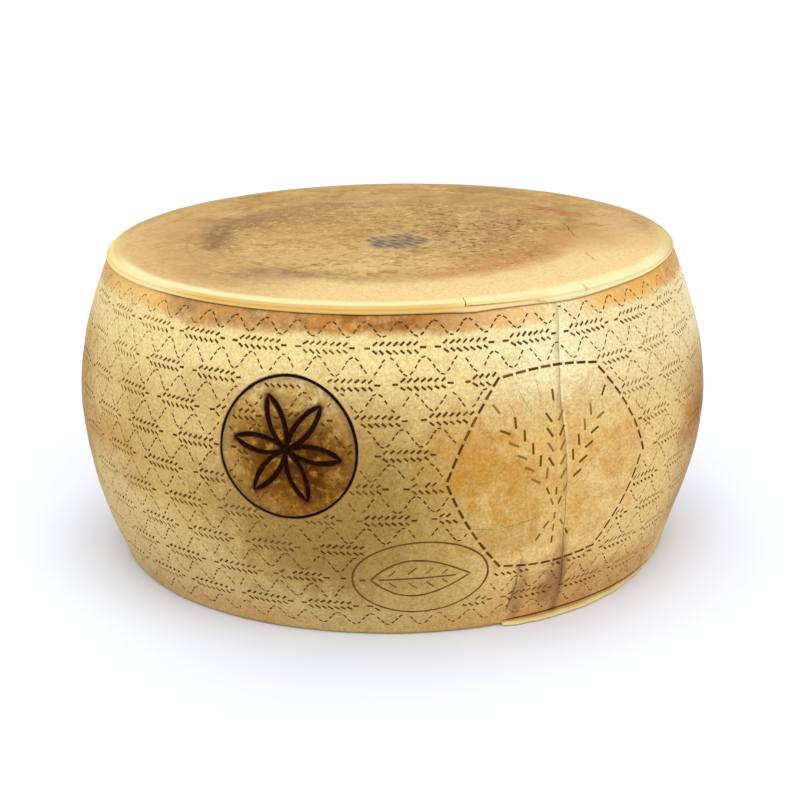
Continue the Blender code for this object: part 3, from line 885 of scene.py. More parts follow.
def cut_with(piece, points, faces, kind):
    """Sinks a shape into the piece, as dark at its bottom as this kind of groove is."""
    cutter = mesh_piece("cutter", points, faces)
    cutter.data.materials.append(piece.data.materials[0])
    mark_layer(cutter, 0.0, GROOVE_DARKNESS[kind])
    before = len(piece.data.polygons)
    boolean(piece, cutter, "DIFFERENCE")
    if len(piece.data.polygons) == before:
        raise RuntimeError("a cutter left the wheel as it was")


# Materials

# Sizes in mm, detail, roughness and warp of the rind's clouds, patches and grain
RIND_NOISES = {
    "broad": (75.0, 2.0, 0.5, 0.0),
    "patch": (24.0, 4.0, 0.6, 0.4),
    "ragged": (11.0, 4.0, 0.62, 0.0),
    "blotch": (6.0, 3.0, 0.6, 0.0),
    "crumb": (4.6, 4.0, 0.65, 0.8),
    "speck": (1.2, 1.0, 0.5, 0.0),
    "dust": (1.9, 1.0, 0.5, 0.0),
}
# Edges wander with the ragged noise, on the top by mm and in a patch by a share of its size
WANDER_MM = 26.0
WANDER = 1.9
# Streaks round the top: width in mm, and how far the turn's direction stretches them
STREAK_WIDTH = 1 / 0.17
STREAK_STRETCH = 9.0
# Where the brown glaze under the rim ends, in mm, and how strong it is, by the angle in degrees
GLAZE_FOOT = (
    (-180, 193.3), (-80, 196.0), (-60, 199.0), (-47, 199.0), (-40, 196.3), (-24, 197.5),
    (-4, 198.7), (12, 198.0), (26, 198.0), (39, 198.6), (52, 199.0), (72, 197.0), (180, 193.3),
)
GLAZE_STRENGTH = (
    (-180, 0.6), (-120, 0.6), (-90, 0.62), (-72, 0.68), (-60, 0.5), (-54, 0.42), (-47, 0.72),
    (-30, 0.76), (-20, 0.78), (-12, 0.93), (4, 0.95), (9, 0.78), (14, 0.72), (22, 0.66), (28, 0.5),
    (30, 0.24), (36, 0.26), (42, 0.76), (50, 0.86), (62, 0.9), (75, 0.9), (100, 0.7), (140, 0.65),
    (180, 0.6),
)

# Colours laid over one another in turn. A row is a colour, its greatest share and its limits, and a
# limit is what is measured, in mm or degrees or as a noise, where the colour starts and is full
SIDE_LAYERS = (
    ("#d2ba80", 0.4, ("patch", 0.55, 0.75)),
    # Darker towards the foot: painted shade.
    ("#a98a58", 0.24, ("height", 70.0, 18.0)),
    # The next four are paler over the right and the upper side, where the light falls: painted light.
    ("#e5c17e", 0.75, ("turn", 6.0, 24.0), ("turn", 165.0, 110.0), ("height", 160.0, 120.0)),
    ("#e4cf92", 0.75, ("height", 146.0, 186.0), ("patch", 0.2, 0.45)),
    ("#ecdeb2", 0.88, ("height", 134.0, 176.0), ("turn", 2.0, 34.0), ("turn", 110.0, 78.0),
     ("patch", 0.2, 0.5)),
    ("#e0c68c", 0.6, ("height", 112.0, 150.0), ("turn", 28.0, 42.0), ("turn", 86.0, 62.0)),
    # Browner and darker where the side turns away round the right: painted shade, with a brown tint.
    ("#a5763a", 0.8, ("turn", 52.0, 72.0), ("turn", 140.0, 100.0), ("height", 14.0, 40.0),
     ("height", 160.0, 130.0)),
)
FRAME_LAYERS = (
    ("#c39438", 0.5, ("height", 152.0, 118.0), ("turn", 44.0, 30.0)),
    ("#e8d098", 0.35, ("patch", 0.52, 0.7)),
    ("#c07e2e", 0.3, ("ragged", 0.56, 0.36)),
)
# Purple-brown along the foot of the seam, and then beside it a pale line of painted highlight and a
# dark line of painted shade
SEAM_FOOT = (("#70431e", 0.6, ("off_seam", 1.5, 0.1), ("height", 84.0, 40.0)),)
SEAM_HIGHLIGHT_AND_SHADE = (
    ("#efe4bc", 0.4, ("past_seam", 0.0, 0.2), ("past_seam", 0.8, 0.3), ("height", 90.0, 150.0),
     ("patch", 0.3, 0.5)),
    ("#8c6a34", 0.35, ("past_seam", -1.2, -0.2), ("past_seam", 0.25, 0.0), ("height", 60.0, 120.0)),
)
GLAZE_LAYERS = (
    ("#ab6a20", 1.0, ("ragged", 0.4, 0.56)),
    ("#dd9e50", 1.0, ("turn", 6.0, 26.0)),
    ("#dca042", 1.0, ("turn", 30.0, 44.0)),
    ("#c4843c", 0.7, ("turn", 56.0, 70.0)),
)
GLAZE_LEFT = (("#f0aa34", 0.6, ("turn", -42.0, -50.0), ("turn", -74.0, -62.0)),)
TOP_LAYERS = (
    ("#c4a269", 0.65, ("patch", 0.5, 0.64)),
    ("#946c3c", 0.55, ("patch", 0.47, 0.34)),
    ("#98743f", 0.55, ("ragged", 0.52, 0.64)),
    ("#c9aa74", 0.4, ("broad", 0.5, 0.66)),
    ("#8f6d3c", 0.45, ("streaks", 0.52, 0.66)),
    ("#876749", 0.4, ("wandering", 104.0, 118.0), ("wandering", 142.0, 124.0),
     ("turn", -70.0, -88.0), ("turn", -180.0, -150.0), ("patch", 0.36, 0.56)),
    ("#b07a3c", 0.5, ("wandering", 96.0, 120.0), ("wandering", 150.0, 128.0),
     ("turn", 10.0, 36.0), ("turn", 110.0, 84.0), ("patch", 0.36, 0.56)),
)
TOP_PALE = (
    ("#dfc286", 0.9, ("wandering", 114.0, 143.0), ("turn", -48.0, -16.0), ("turn", 98.0, 66.0)),
    ("#dfc58c", 0.55, ("wandering", 140.0, 166.0), ("turn", -16.0, 12.0), ("turn", 78.0, 50.0)),
    ("#d8b782", 0.6, ("wandering", 152.0, 182.0), ("turn", -22.0, -45.0), ("turn", -128.0, -92.0)),
    ("#b98858", 0.5, ("mottle", 1.0, 1.2), ("wandering", 118.0, 140.0), ("turn", -8.0, -34.0),
     ("turn", -150.0, -110.0)),
    ("#dabb80", 0.45, ("crumb", 0.44, 0.38), ("wandering", 140.0, 106.0)),
    ("#927043", 0.3, ("dust", 0.5, 0.7)),
)
LIP_FACE = (("radius", 190.5, 192.8), ("height", 150.0, 190.0))
RIM_LAYERS = (
    ("#e0c084", 0.8, *LIP_FACE, ("turn", 32.0, 27.0), ("turn", -60.0, -40.0)),
    ("#c9a053", 0.85, *LIP_FACE, ("turn", 16.0, 8.0), ("turn", -50.0, -34.0)),
    ("#ecce88", 0.65, *LIP_FACE, ("turn", -48.0, -60.0), ("turn", -120.0, -95.0)),
    ("#e6d092", 1.0, ("height", 190.0, 150.0)),
)

# Soft stains, and two patches of painted shade on the side: middle and half sizes, turn in degrees,
# strength and colour. On the side a place is an angle in degrees and a height in mm, and the tall
# patches have a softer edge
SIDE_STAINS_AND_SHADE = (
    # These two darken the middle and the lower middle of the side: painted shade. The rest are stains.
    ((-11.0, 93.0), (25.0, 80.0), 0.0, 0.9, "#937134"),
    ((-12.0, 64.0), (15.0, 36.0), 0.0, 0.2, "#86642e"),
    ((-34.0, 9.0), (24.0, 9.0), 0.0, 0.5, "#b98c58"),
    ((-76.0, 118.0), (12.0, 66.0), 0.0, 0.75, "#a87a1e"),
    ((-60.0, 112.0), (12.0, 19.0), 0.0, 0.55, "#b4802a"),
    ((-52.0, 88.0), (7.0, 8.0), 0.0, 0.35, "#ab7c3c"),
    ((-34.0, 160.0), (5.0, 12.0), 0.0, 0.3, "#ab8440"),
    ((67.0, 109.0), (8.0, 20.0), 0.0, 0.8, "#b0700e"),
    ((71.0, 109.0), (4.5, 14.0), 0.0, 0.6, "#7e500c"),
    ((62.0, 98.0), (5.0, 9.0), 0.0, 0.4, "#a46c38"),
    ((13.5, 121.0), (7.0, 28.0), 0.0, 0.75, "#ae7728"),
    ((21.0, 98.0), (6.0, 28.0), 0.0, 0.5, "#ae7c38"),
    ((19.0, 70.0), (9.0, 14.0), 0.0, 0.45, "#a5834a"),
    ((41.0, 112.0), (7.0, 30.0), 0.0, 0.4, "#c68c40"),
    ((-150.0, 90.0), (12.0, 24.0), 0.0, 0.5, "#a67834"),
    ((150.0, 140.0), (9.0, 16.0), 0.0, 0.45, "#ae8038"),
    ((31.0, 18.0), (14.0, 32.0), 0.0, 0.5, "#b0703a"),
    ((28.4, 28.0), (3.2, 24.0), 0.0, 0.55, "#7a4628"),
    ((50.0, 16.0), (15.0, 20.0), 0.0, 0.6, "#b97f44"),
    ((14.0, 6.0), (16.0, 9.0), 0.0, 0.4, "#bf8848"),
)
TALL_PATCH = 30.0
CREASE_STAIN = (((22.0, 26.0), (1.8, 26.0), 0.0, 0.4, "#6e4226"),)
FRAME_PATCH = (21.0, 62.0)
TOP_STAINS = (
    ((-50.0, -52.0), (64.0, 48.0), 0.0, 0.7, "#c6a56b"),
    ((-66.0, 6.0), (46.0, 40.0), 0.0, 0.4, "#ba9550"),
    ((16.0, -88.0), (60.0, 26.0), 0.0, 0.65, "#cfae76"),
    ((-60.0, 74.0), (46.0, 27.0), 38.0, 0.5, "#957141"),
    ((10.0, 62.0), (40.0, 24.0), 0.0, 0.3, "#a4874c"),
    ((74.0, 26.0), (36.0, 54.0), 0.0, 0.55, "#966f3f"),
    ((-122.0, 2.0), (13.0, 44.0), 0.0, 0.75, "#7a593c"),
    ((-98.0, 62.0), (20.0, 36.0), -40.0, 0.55, "#86664a"),
    ((-30.0, 112.0), (34.0, 12.0), 8.0, 0.45, "#8c6c48"),
    ((58.0, 112.0), (64.0, 22.0), -18.0, 0.35, "#957444"),
    ((-72.0, -113.0), (36.0, 20.0), -12.0, 0.75, "#7c5f44"),
    ((-58.0, -124.0), (26.0, 18.0), -22.0, 0.5, "#82684c"),
    ((-12.0, -134.0), (22.0, 12.0), -20.0, 0.35, "#92744c"),
    ((-140.0, -84.0), (22.0, 50.0), -40.0, 0.45, "#c09064"),
    ((-160.0, 30.0), (26.0, 70.0), 0.0, 0.4, "#bf986a"),
    ((82.0, -72.0), (50.0, 26.0), 44.0, 0.6, "#ae763a"),
    ((44.0, -104.0), (40.0, 15.0), 16.0, 0.5, "#b98648"),
    ((72.0, 162.0), (44.0, 15.0), -24.0, 0.5, "#906a4a"),
    ((-102.0, 149.0), (17.0, 8.0), 35.0, 0.5, "#76583e"),
    ((172.0, 30.0), (22.0, 60.0), 0.0, 0.5, "#cda47a"),
)
# Stains that lie over the pale front of the top as well
FRONT_STAINS = (
    ((120.0, -14.0), (36.0, 30.0), 0.0, 0.36, "#b98a52"),
    ((132.0, -38.0), (34.0, 30.0), 0.0, 0.28, "#b98a52"),
)
SMEAR = ((117.5, 80.0), (28.0, 9.5), -43.7, 0.8, "#ac5240")
# Where the crumb of the top is dense, and where the rosette is scorched and charred
CRUMB_PATCH = ((52.0, 16.0), (58.0, 90.0), 0.0, 0.6)
SCORCHED_PATCH = ((6.0, -8.0), (50.0, 42.0), -30.0, 1.0)
CHARRED_PATCH = ((8.0, -5.0), (36.0, 26.0), -14.0, 0.85)


def fill(tree, made, sockets):
    """Gives a node's sockets, by name or number, a value, a node or one of a node's outputs."""
    for name, value in sockets.items():
        if isinstance(value, bpy.types.Node):
            value = next(output for output in value.outputs if output.enabled)
        if isinstance(value, bpy.types.NodeSocket):
            tree.links.new(value, made.inputs[name])
        else:
            made.inputs[name].default_value = value


def node(tree, kind, *inputs, **named):
    """Adds a node with its settings and links.

    kind may end in the operation, as in "Math ADD". inputs fill the sockets in order, and None
    leaves one as it is. Names with a capital are sockets too, and the others are settings.
    """
    kind, _, operation = kind.partition(" ")
    made = tree.nodes.new("ShaderNode" + kind)
    settings = {name: value for name, value in named.items() if name.islower()}
    if operation:
        settings["operation"] = operation
    for name, value in settings.items():
        setattr(made, name, value)
    fill(tree, made, {k: value for k, value in enumerate(inputs) if value is not None})
    fill(tree, made, {name: value for name, value in named.items() if name not in settings})
    return made


def share(tree, *limits, most=1.0):
    """How far all the limits hold, up to most. A limit is a value, where it starts and is full."""
    held = None
    for value, start, full in limits:
        top = most if held is None else 1.0
        part = node(tree, "MapRange", value, start, full, None, top, interpolation_type="SMOOTHSTEP")
        held = part if held is None else node(tree, "Math MULTIPLY", held, part)
    return held


def layered(tree, colour, *layers):
    """A colour with others laid over it in turn, each with its share."""
    for over, part in layers:
        over = hexed(over) if isinstance(over, str) else over
        colour = node(tree, "Mix", data_type="RGBA", Factor=part, A=colour, B=over)
    return colour


def zoned(tree, spots, colour, layers, within=None):
    """A colour with a table's colours laid over it in turn, all over or within a patch."""
    for code, most, *limits in layers:
        part = share(tree, *((spots[name], start, full) for name, start, full in limits), most=most)
        if within is not None:
            part = node(tree, "Math MULTIPLY", within, part)
        colour = layered(tree, colour, (code, part))
    return colour


def profile(tree, value, stops):
    """A value that follows (place, value) stops along another one."""
    start, end = stops[0][0], stops[-1][0]
    low, high = min(level for _, level in stops), max(level for _, level in stops)
    ramp = node(tree, "ValToRGB", node(tree, "MapRange", value, start, end))
    elements = ramp.color_ramp.elements
    for place, _ in stops[1:-1]:
        elements.new((place - start) / (end - start))
    for element, (_, level) in zip(elements, stops):
        part = (level - low) / (high - low)
        element.color = (part, part, part, 1.0)
    return node(tree, "MapRange", ramp, None, None, low, high)


def patch_share(tree, drawing, ragged, centre, half, turn=0.0, most=1.0):
    """How strongly a soft patch with a ragged edge covers each place of a flat drawing."""
    moved = node(tree, "VectorMath SUBTRACT", drawing, (*centre, 0.0))
    turned = node(tree, "VectorRotate", Vector=moved, Angle=-math.radians(turn), rotation_type="Z_AXIS")
    scaled = node(tree, "VectorMath DIVIDE", turned, (*half, 1.0))
    far = node(tree, "Math ADD", node(tree, "VectorMath LENGTH", scaled), ragged)
    return share(tree, (far, 1.25, 0.35), most=most)


def patched(tree, colour, drawing, stains, ragged, soft=None):
    """A colour with a table's soft patches laid over it in turn: stains, and on the side painted shade.
    """
    for centre, half, turn, most, code in stains:
        edge = ragged if soft is None or half[1] <= TALL_PATCH else soft
        part = patch_share(tree, drawing, edge, centre, half, turn, most)
        colour = layered(tree, colour, (code, part))
    return colour


def new_material(name):
    made = bpy.data.materials.new(name)
    made.use_nodes = True
    return made, made.node_tree, made.node_tree.nodes["Principled BSDF"]


def rind_spots(tree):
    """What the rind's colours go by: places in mm and degrees, two flat maps, noises and marks."""
    place = node(tree, "TexCoord").outputs["Object"]
    sized = node(tree, "VectorMath SCALE", place, Scale=1 / MM)
    x, y, height = node(tree, "SeparateXYZ", sized).outputs
    around = node(tree, "Math ARCTAN2", x, node(tree, "Math MULTIPLY", y, -1.0))
    turn = node(tree, "Math DEGREES", around)
    plan = node(tree, "CombineXYZ", x, y)
    radius = node(tree, "VectorMath LENGTH", plan)
    spots = {"y": y, "height": height, "turn": turn, "radius": radius, "plan": plan}
    spots["unrolled"] = node(tree, "CombineXYZ", turn, height)
    for name, (size, detail, rough, warp) in RIND_NOISES.items():
        spots[name] = node(
            tree, "TexNoise", Vector=place, Scale=per_metre(size), Detail=detail, Roughness=rough,
            Distortion=warp,
        )
    centred = node(tree, "Math SUBTRACT", spots["ragged"], 0.5)
    spots["wander_mm"] = node(tree, "Math MULTIPLY", centred, WANDER_MM)
    spots["wander"] = node(tree, "Math MULTIPLY", centred, WANDER)
    spots["wandering"] = node(tree, "Math ADD", radius, spots["wander_mm"])
    spots["mottle"] = node(tree, "Math ADD", spots["blotch"], spots["ragged"])
    way = node(tree, "VectorMath NORMALIZE", plan)
    way = node(tree, "VectorMath SCALE", way, Scale=STREAK_STRETCH)
    ringed = node(tree, "VectorMath ADD", way, node(tree, "CombineXYZ", None, None, radius))
    spots["streaks"] = node(
        tree, "TexNoise", Vector=ringed, Scale=1 / STREAK_WIDTH, Detail=4.0, Roughness=0.6
    )
    # How far round from the seam in degrees, and how far off it with a ragged edge
    seam = profile(tree, height, [(h, a) for a, h, _ in reversed(SEAM)])
    spots["past_seam"] = node(tree, "Math SUBTRACT", turn, seam)
    off = node(tree, "Math ABSOLUTE", spots["past_seam"])
    ragged = node(tree, "Math MULTIPLY", spots["wander"], 0.6)
    spots["off_seam"] = node(tree, "Math SUBTRACT", off, ragged)
    for name in ("lip", "groove"):
        spots[name] = node(tree, "Attribute", attribute_name=name).outputs["Fac"]
    return spots


def side_colour(tree, spots, settings):
    """Golden side with stains, paler above and to the right as painted light, darker in the middle,
    towards a brown foot and round the right flank as painted shade, and a darkened seam with a painted
    highlight and shade beside it.
    """
    unrolled, wander = spots["unrolled"], spots["wander"]
    deep = share(tree, (spots["broad"], 0.36, 0.64), most=0.8)
    colour = layered(tree, settings.gold_light, (settings.gold_deep, deep))
    colour = zoned(tree, spots, colour, SIDE_LAYERS)
    soft = node(tree, "Math MULTIPLY", wander, 0.45)
    colour = patched(tree, colour, unrolled, SIDE_STAINS_AND_SHADE, wander, soft)
    inside = patch_share(tree, unrolled, wander, FRAME_AT, FRAME_PATCH)
    colour = zoned(tree, spots, colour, FRAME_LAYERS, inside)
    colour = zoned(tree, spots, colour, SEAM_FOOT)
    colour = patched(tree, colour, unrolled, CREASE_STAIN, wander)
    return zoned(tree, spots, colour, SEAM_HIGHLIGHT_AND_SHADE)


def glazed(tree, spots):
    """Colour of the brown glaze under the rim, and how strong it is, down to its ragged foot."""
    turn = spots["turn"]
    left, back = share(tree, (turn, -40.0, -52.0)), share(tree, (turn, 120.0, 170.0))
    colour = zoned(tree, spots, hexed("#8a4c0a"), GLAZE_LAYERS)
    colour = layered(tree, colour, ("#be8434", node(tree, "Math MAXIMUM", left, back)))
    colour = zoned(tree, spots, colour, GLAZE_LEFT)
    above = node(tree, "Math SUBTRACT", spots["height"], profile(tree, turn, GLAZE_FOOT))
    above = node(tree, "Math ADD", above, node(tree, "Math MULTIPLY", spots["wander_mm"], 0.4))
    uneven = node(tree, "MapRange", share(tree, (spots["blotch"], 0.3, 0.55)), None, None, 0.7, 1.0)
    covered = share(tree, (above, -3.0, 3.5))
    covered = node(tree, "Math MULTIPLY", covered, profile(tree, turn, GLAZE_STRENGTH))
    return colour, node(tree, "Math MULTIPLY", covered, uneven)


def top_colour(tree, spots):
    """Olive-tan top with a rough middle, a broken brown ring, stains, a pale front and a red smear."""
    plan, wander, crumb = spots["plan"], spots["wander"], spots["crumb"]
    blotched = node(tree, "Math MULTIPLY", node(tree, "Math SUBTRACT", spots["blotch"], 0.5), 3.4)
    mottled = node(tree, "Math ADD", node(tree, "Math MULTIPLY", wander, 1.5), blotched)
    colour = zoned(tree, spots, hexed("#b08f5a"), TOP_LAYERS)
    colour = patched(tree, colour, plan, TOP_STAINS, mottled)
    colour = zoned(tree, spots, colour, TOP_PALE)
    dense = node(tree, "Math ADD", patch_share(tree, plan, mottled, *CRUMB_PATCH), 0.34)
    flecks = share(tree, (crumb, 0.56, 0.63), (spots["wandering"], 140.0, 106.0))
    flecks = node(tree, "Math MULTIPLY", flecks, dense)
    smear = patch_share(tree, plan, wander, *SMEAR[:-1])
    smear = node(tree, "Math MULTIPLY", smear, share(tree, (crumb, 0.42, 0.54)))
    colour = layered(tree, colour, ("#5e3c16", flecks), (SMEAR[-1], smear))
    return patched(tree, colour, plan, FRONT_STAINS, wander)


def rim_colour(tree, spots, settings):
    """Cream on the front of the rim's curve as a painted highlight, tanned at the back, golden on the
    lip's face at the front left.
    """
    y = spots["y"]
    # The cream over the front is painted highlight.
    tan, cream = share(tree, (y, 55.0, -20.0)), share(tree, (y, -30.0, -90.0))
    colour = layered(tree, hexed("#b2915f"), ("#cdb478", tan), (settings.cream, cream))
    return zoned(tree, spots, colour, RIM_LAYERS)


def burn_shares(tree, spots):
    """How burnt the rosette is: by its lines, over its disc, and in amber and dark blotches."""
    wander, blotch = spots["wander"], spots["blotch"]
    round_mm = math.radians(1.0) * float(side_radius(ROSETTE_AT[1] * MM)) / MM
    right = node(tree, "Math SUBTRACT", spots["turn"], ROSETTE_AT[0])
    right = node(tree, "Math MULTIPLY", right, round_mm)
    up = node(tree, "Math SUBTRACT", spots["height"], ROSETTE_AT[1])
    flat = node(tree, "CombineXYZ", right, up)
    flat = node(tree, "VectorRotate", Vector=flat, Angle=-ROSETTE_TILT, rotation_type="Z_AXIS")
    far = node(tree, "VectorMath LENGTH", flat)
    near = node(tree, "Math ADD", far, 1000.0)
    for right, up in PETAL_CENTRES:
        off = node(tree, "VectorMath DISTANCE", flat, (right / MM, up / MM, 0.0))
        off = node(tree, "Math ABSOLUTE", node(tree, "Math SUBTRACT", off, ROSETTE_PETAL / MM))
        near = node(tree, "Math MINIMUM", near, off)
    past = node(tree, "Math SUBTRACT", far, ROSETTE_PETAL / MM - 1.2)
    near = node(tree, "Math MAXIMUM", near, past)
    ring = node(tree, "Math ABSOLUTE", node(tree, "Math SUBTRACT", far, ROSETTE_RING / MM))
    near = node(tree, "Math MINIMUM", near, node(tree, "Math ADD", ring, 0.9))
    near = node(tree, "Math SUBTRACT", near, node(tree, "Math MULTIPLY", wander, 1.6))
    disc = share(tree, (far, 45.0, 42.0))
    burnt = node(tree, "Math MULTIPLY", disc, patch_share(tree, flat, wander, *SCORCHED_PATCH))
    amber = node(tree, "Math MULTIPLY", burnt, share(tree, (spots["ragged"], 0.36, 0.54)))
    amber = node(tree, "Math MULTIPLY", amber, share(tree, (blotch, 0.3, 0.5)))
    rough = node(tree, "Math MULTIPLY", wander, 1.5)
    dark = patch_share(tree, flat, rough, *CHARRED_PATCH)
    dark = node(tree, "Math MAXIMUM", dark, share(tree, (near, 7.0, 2.0), most=0.45))
    dark = node(tree, "Math MULTIPLY", disc, dark)
    dark = node(tree, "Math MULTIPLY", dark, share(tree, (blotch, 0.26, 0.5)))
    return share(tree, (near, 2.4, 1.4)), burnt, amber, dark


def rim_share(tree, spots):
    """Where the cream rim lies: on the lip's face and over its curve, with a ragged inner edge."""
    radius, turn = spots["radius"], spots["turn"]
    edge = node(tree, "Math ADD", radius, node(tree, "Math MULTIPLY", spots["wander_mm"], 0.3))
    for start, full, most in ((35.0, 62.0, 3.5), (-36.0, -60.0, 2.4)):
        edge = node(tree, "Math SUBTRACT", edge, share(tree, (turn, start, full), most=most))
    standing = share(tree, (radius, 185.8, 188.0))
    low = share(tree, (spots["height"], 150.0, 100.0))
    face = node(tree, "Math MULTIPLY", spots["lip"], node(tree, "Math MAXIMUM", standing, low))
    curve = share(tree, (edge, 179.5, 187.0), (spots["height"], 213.0, 213.8))
    return node(tree, "Math MAXIMUM", face, curve)


def rind_material(settings, name, specular):
    """Pressed and oiled rind of an aged hard cheese, fine-grained from the mould's band.

    It gives the eye a satin golden surface with a fine grain, brown glaze under the rim, cream
    edges, a tanned and ringed top, and scorched and darkened marks. Painted light and shade lie on
    the side, and the cream at the front of the rim is a painted highlight.
    """
    made, tree, shader = new_material(name)
    spots = rind_spots(tree)
    radius, height, speck = spots["radius"], spots["height"], spots["speck"]
    halo, burnt, amber, scorched = burn_shares(tree, spots)
    side = layered(
        tree, side_colour(tree, spots, settings),
        ("#a0701c", node(tree, "Math MULTIPLY", burnt, 0.65)),
        ("#784204", node(tree, "Math MULTIPLY", amber, 0.95)),
        ("#3a1a06", scorched),
    )
    # Light and dark grain, drawn at 1.2 and 1.9 mm and so about twice as coarse as the real one
    grain = layered(
        tree, (1.0, 1.0, 1.0, 1.0),
        ((1.22, 1.24, 1.34, 1.0), share(tree, (speck, 0.48, 0.70))),
        ((0.74, 0.71, 0.55, 1.0), share(tree, (spots["dust"], 0.44, 0.70), most=0.65)),
    )
    side = node(tree, "Mix", data_type="RGBA", blend_type="MULTIPLY", Factor=1.0, A=side, B=grain)
    on_top = share(tree, (radius, 188.5, 185.8), (height, 200.0, 205.0))
    glaze_colour, glaze = glazed(tree, spots)
    colour = layered(
        tree, side, (glaze_colour, glaze), (top_colour(tree, spots), on_top),
        ("#9c8050", share(tree, (radius, 190.5, 186.0), (height, 10.0, 4.0))),
        (rim_colour(tree, spots, settings), rim_share(tree, spots)),
        ("#3a1c08", node(tree, "Math MULTIPLY", halo, 0.7)),
        ("#4f3414", share(tree, (spots["groove"], 0.0, 1.0), most=0.92)),
    )
    rough = node(tree, "MapRange", spots["blotch"], 0.3, 0.7, 0.46, 0.62)
    rough = node(tree, "Math SUBTRACT", rough, node(tree, "Math MULTIPLY", glaze, 0.1))
    crumbs = node(tree, "Math MULTIPLY", spots["crumb"], 0.9)
    relief = node(tree, "Math ADD", node(tree, "Math MULTIPLY", speck, 0.5), crumbs)
    streaked = node(tree, "Math MULTIPLY", spots["streaks"], on_top)
    relief = node(tree, "Math ADD", relief, node(tree, "Math MULTIPLY", streaked, 0.6))
    finish(tree, shader, colour, (relief, 0.6, 0.5), rough, specular, IOR=1.46)
    return made


def finish(tree, shader, colour, relief, roughness, specular, **others):
    """Gives the shader its colour, its gloss and its relief: a height, a strength and a depth in mm."""
    height, strength, depth = relief
    bumps = node(tree, "Bump", Height=height, Strength=strength, Distance=depth * MM)
    gloss = {"Roughness": roughness, "Specular IOR Level": specular, **others}
    fill(tree, shader, {"Base Color": colour, "Normal": bumps, **gloss})


def plain_material(name, code, roughness, specular):
    """A dull, even layer, such as the dark bottom of a prick."""
    made, tree, shader = new_material(name)
    gloss = {"Roughness": roughness, "Specular IOR Level": specular}
    fill(tree, shader, {"Base Color": hexed(code), **gloss})
    return made


def char_material(settings):
    """Charred rind in the rosette's lines. It gives the eye a dull near-black with brown flakes."""
    made, tree, shader = new_material("burnt_rind")
    place = node(tree, "TexCoord").outputs["Object"]
    flakes = node(tree, "TexNoise", Vector=place, Scale=per_metre(2.5), Detail=4.0)
    colour = layered(tree, settings.char, ("#4a210a", share(tree, (flakes, 0.5, 0.75), most=0.5)))
    finish(tree, shader, colour, (flakes, 0.6, 0.4), 0.85, 0.02)
    return made


def casein_material(settings):
    """Casein, a dried milk protein, pressed into a ribbed plate and soaked with the rind's oil.

    It gives the eye dull purple-brown ridges in a tan ground, and a paler ragged edge.
    """
    made, tree, shader = new_material("pressed_casein")
    place = node(tree, "TexCoord").outputs["Object"]
    cloud = node(tree, "TexNoise", Vector=place, Scale=per_metre(7.0), Detail=4.0)
    grain = node(tree, "TexNoise", Vector=place, Scale=per_metre(1.8), Detail=2.0)
    ridge, edge = (
        node(tree, "Attribute", attribute_name=name).outputs["Fac"] for name in ("ridge", "edge")
    )
    worn = node(tree, "Math MULTIPLY", ridge, share(tree, (cloud, 0.3, 0.5), most=0.9))
    colour = layered(
        tree, hexed("#968054"),
        ("#84684e", share(tree, (cloud, 0.46, 0.6), most=0.75)),
        (settings.casein, worn),
        ("#b8a078", share(tree, (grain, 0.55, 0.75), most=0.3)),
        ("#b9945a", edge),
    )
    finish(tree, shader, colour, (cloud, 0.4, 0.3), 0.62, 0.3)
    return made


# The wheel

def lip_radius():
    return float(side_radius(LIP_TOP)) + LIP_PROUD


def wheel_profile():
    """Half section: out along the base, up the side and over the rim to the middle of the top."""
    foot = float(side_radius(FOOT_ROUND)) - FOOT_ROUND
    points = [(foot * k / BASE_RINGS, 0.0) for k in range(1, BASE_RINGS)]
    for k in range(FOOT_STEPS + 1):
        turn = math.pi / 2 * k / FOOT_STEPS
        points.append((foot + FOOT_ROUND * math.sin(turn), FOOT_ROUND * (1 - math.cos(turn))))
    for k in range(1, SIDE_RINGS + 1):
        z = FOOT_ROUND + (SIDE_END - FOOT_ROUND) * k / SIDE_RINGS
        points.append((float(side_radius(z)), z))
    line = float(side_radius(LINE_Z))
    points += [(line + out * MM, LINE_Z + up * MM) for out, up in LINE_SECTION]
    points += [(line + out * LIP_PROUD, LINE_Z + up * MM) for out, up in LIP_ROUNDING]
    points.append((lip_radius(), LIP_TOP - LIP_EDGE))
    for k in range(RIM_STEPS + 1):
        turn = math.pi / 2 * k / RIM_STEPS
        reach = (lip_radius() - TOP_REACH) * math.cos(turn)
        points.append((TOP_REACH + reach, LIP_TOP + RIM_DROP * math.sin(turn)))
    points += [(TOP_REACH * (1 - k / TOP_RINGS), HEIGHT) for k in range(1, TOP_RINGS)]
    points.append((0.0, HEIGHT))
    return points


def spun(name, points, steps):
    """A body spun round the upright axis from a line that starts at the origin."""
    deselect_all()
    bpy.ops.mesh.primitive_plane_add(size=1 * MM)
    piece = bpy.context.object
    piece.name = piece.data.name = name
    bpy.ops.object.mode_set(mode="EDIT")
    bpy.ops.mesh.select_all(action="SELECT")
    bpy.ops.mesh.merge(type="CENTER")
    last = (0.0, 0.0)
    for radius, z in points:
        step = (radius - last[0], 0.0, z - last[1])
        bpy.ops.mesh.extrude_region_move(TRANSFORM_OT_translate={"value": step})
        last = (radius, z)
    bpy.ops.mesh.select_all(action="SELECT")
    bpy.ops.mesh.spin(steps=steps, angle=TURN, center=(0, 0, 0), axis=(0, 0, 1))
    bpy.ops.mesh.select_all(action="SELECT")
    bpy.ops.mesh.remove_doubles(threshold=0.01 * MM)
    face_outwards(piece)
    return piece


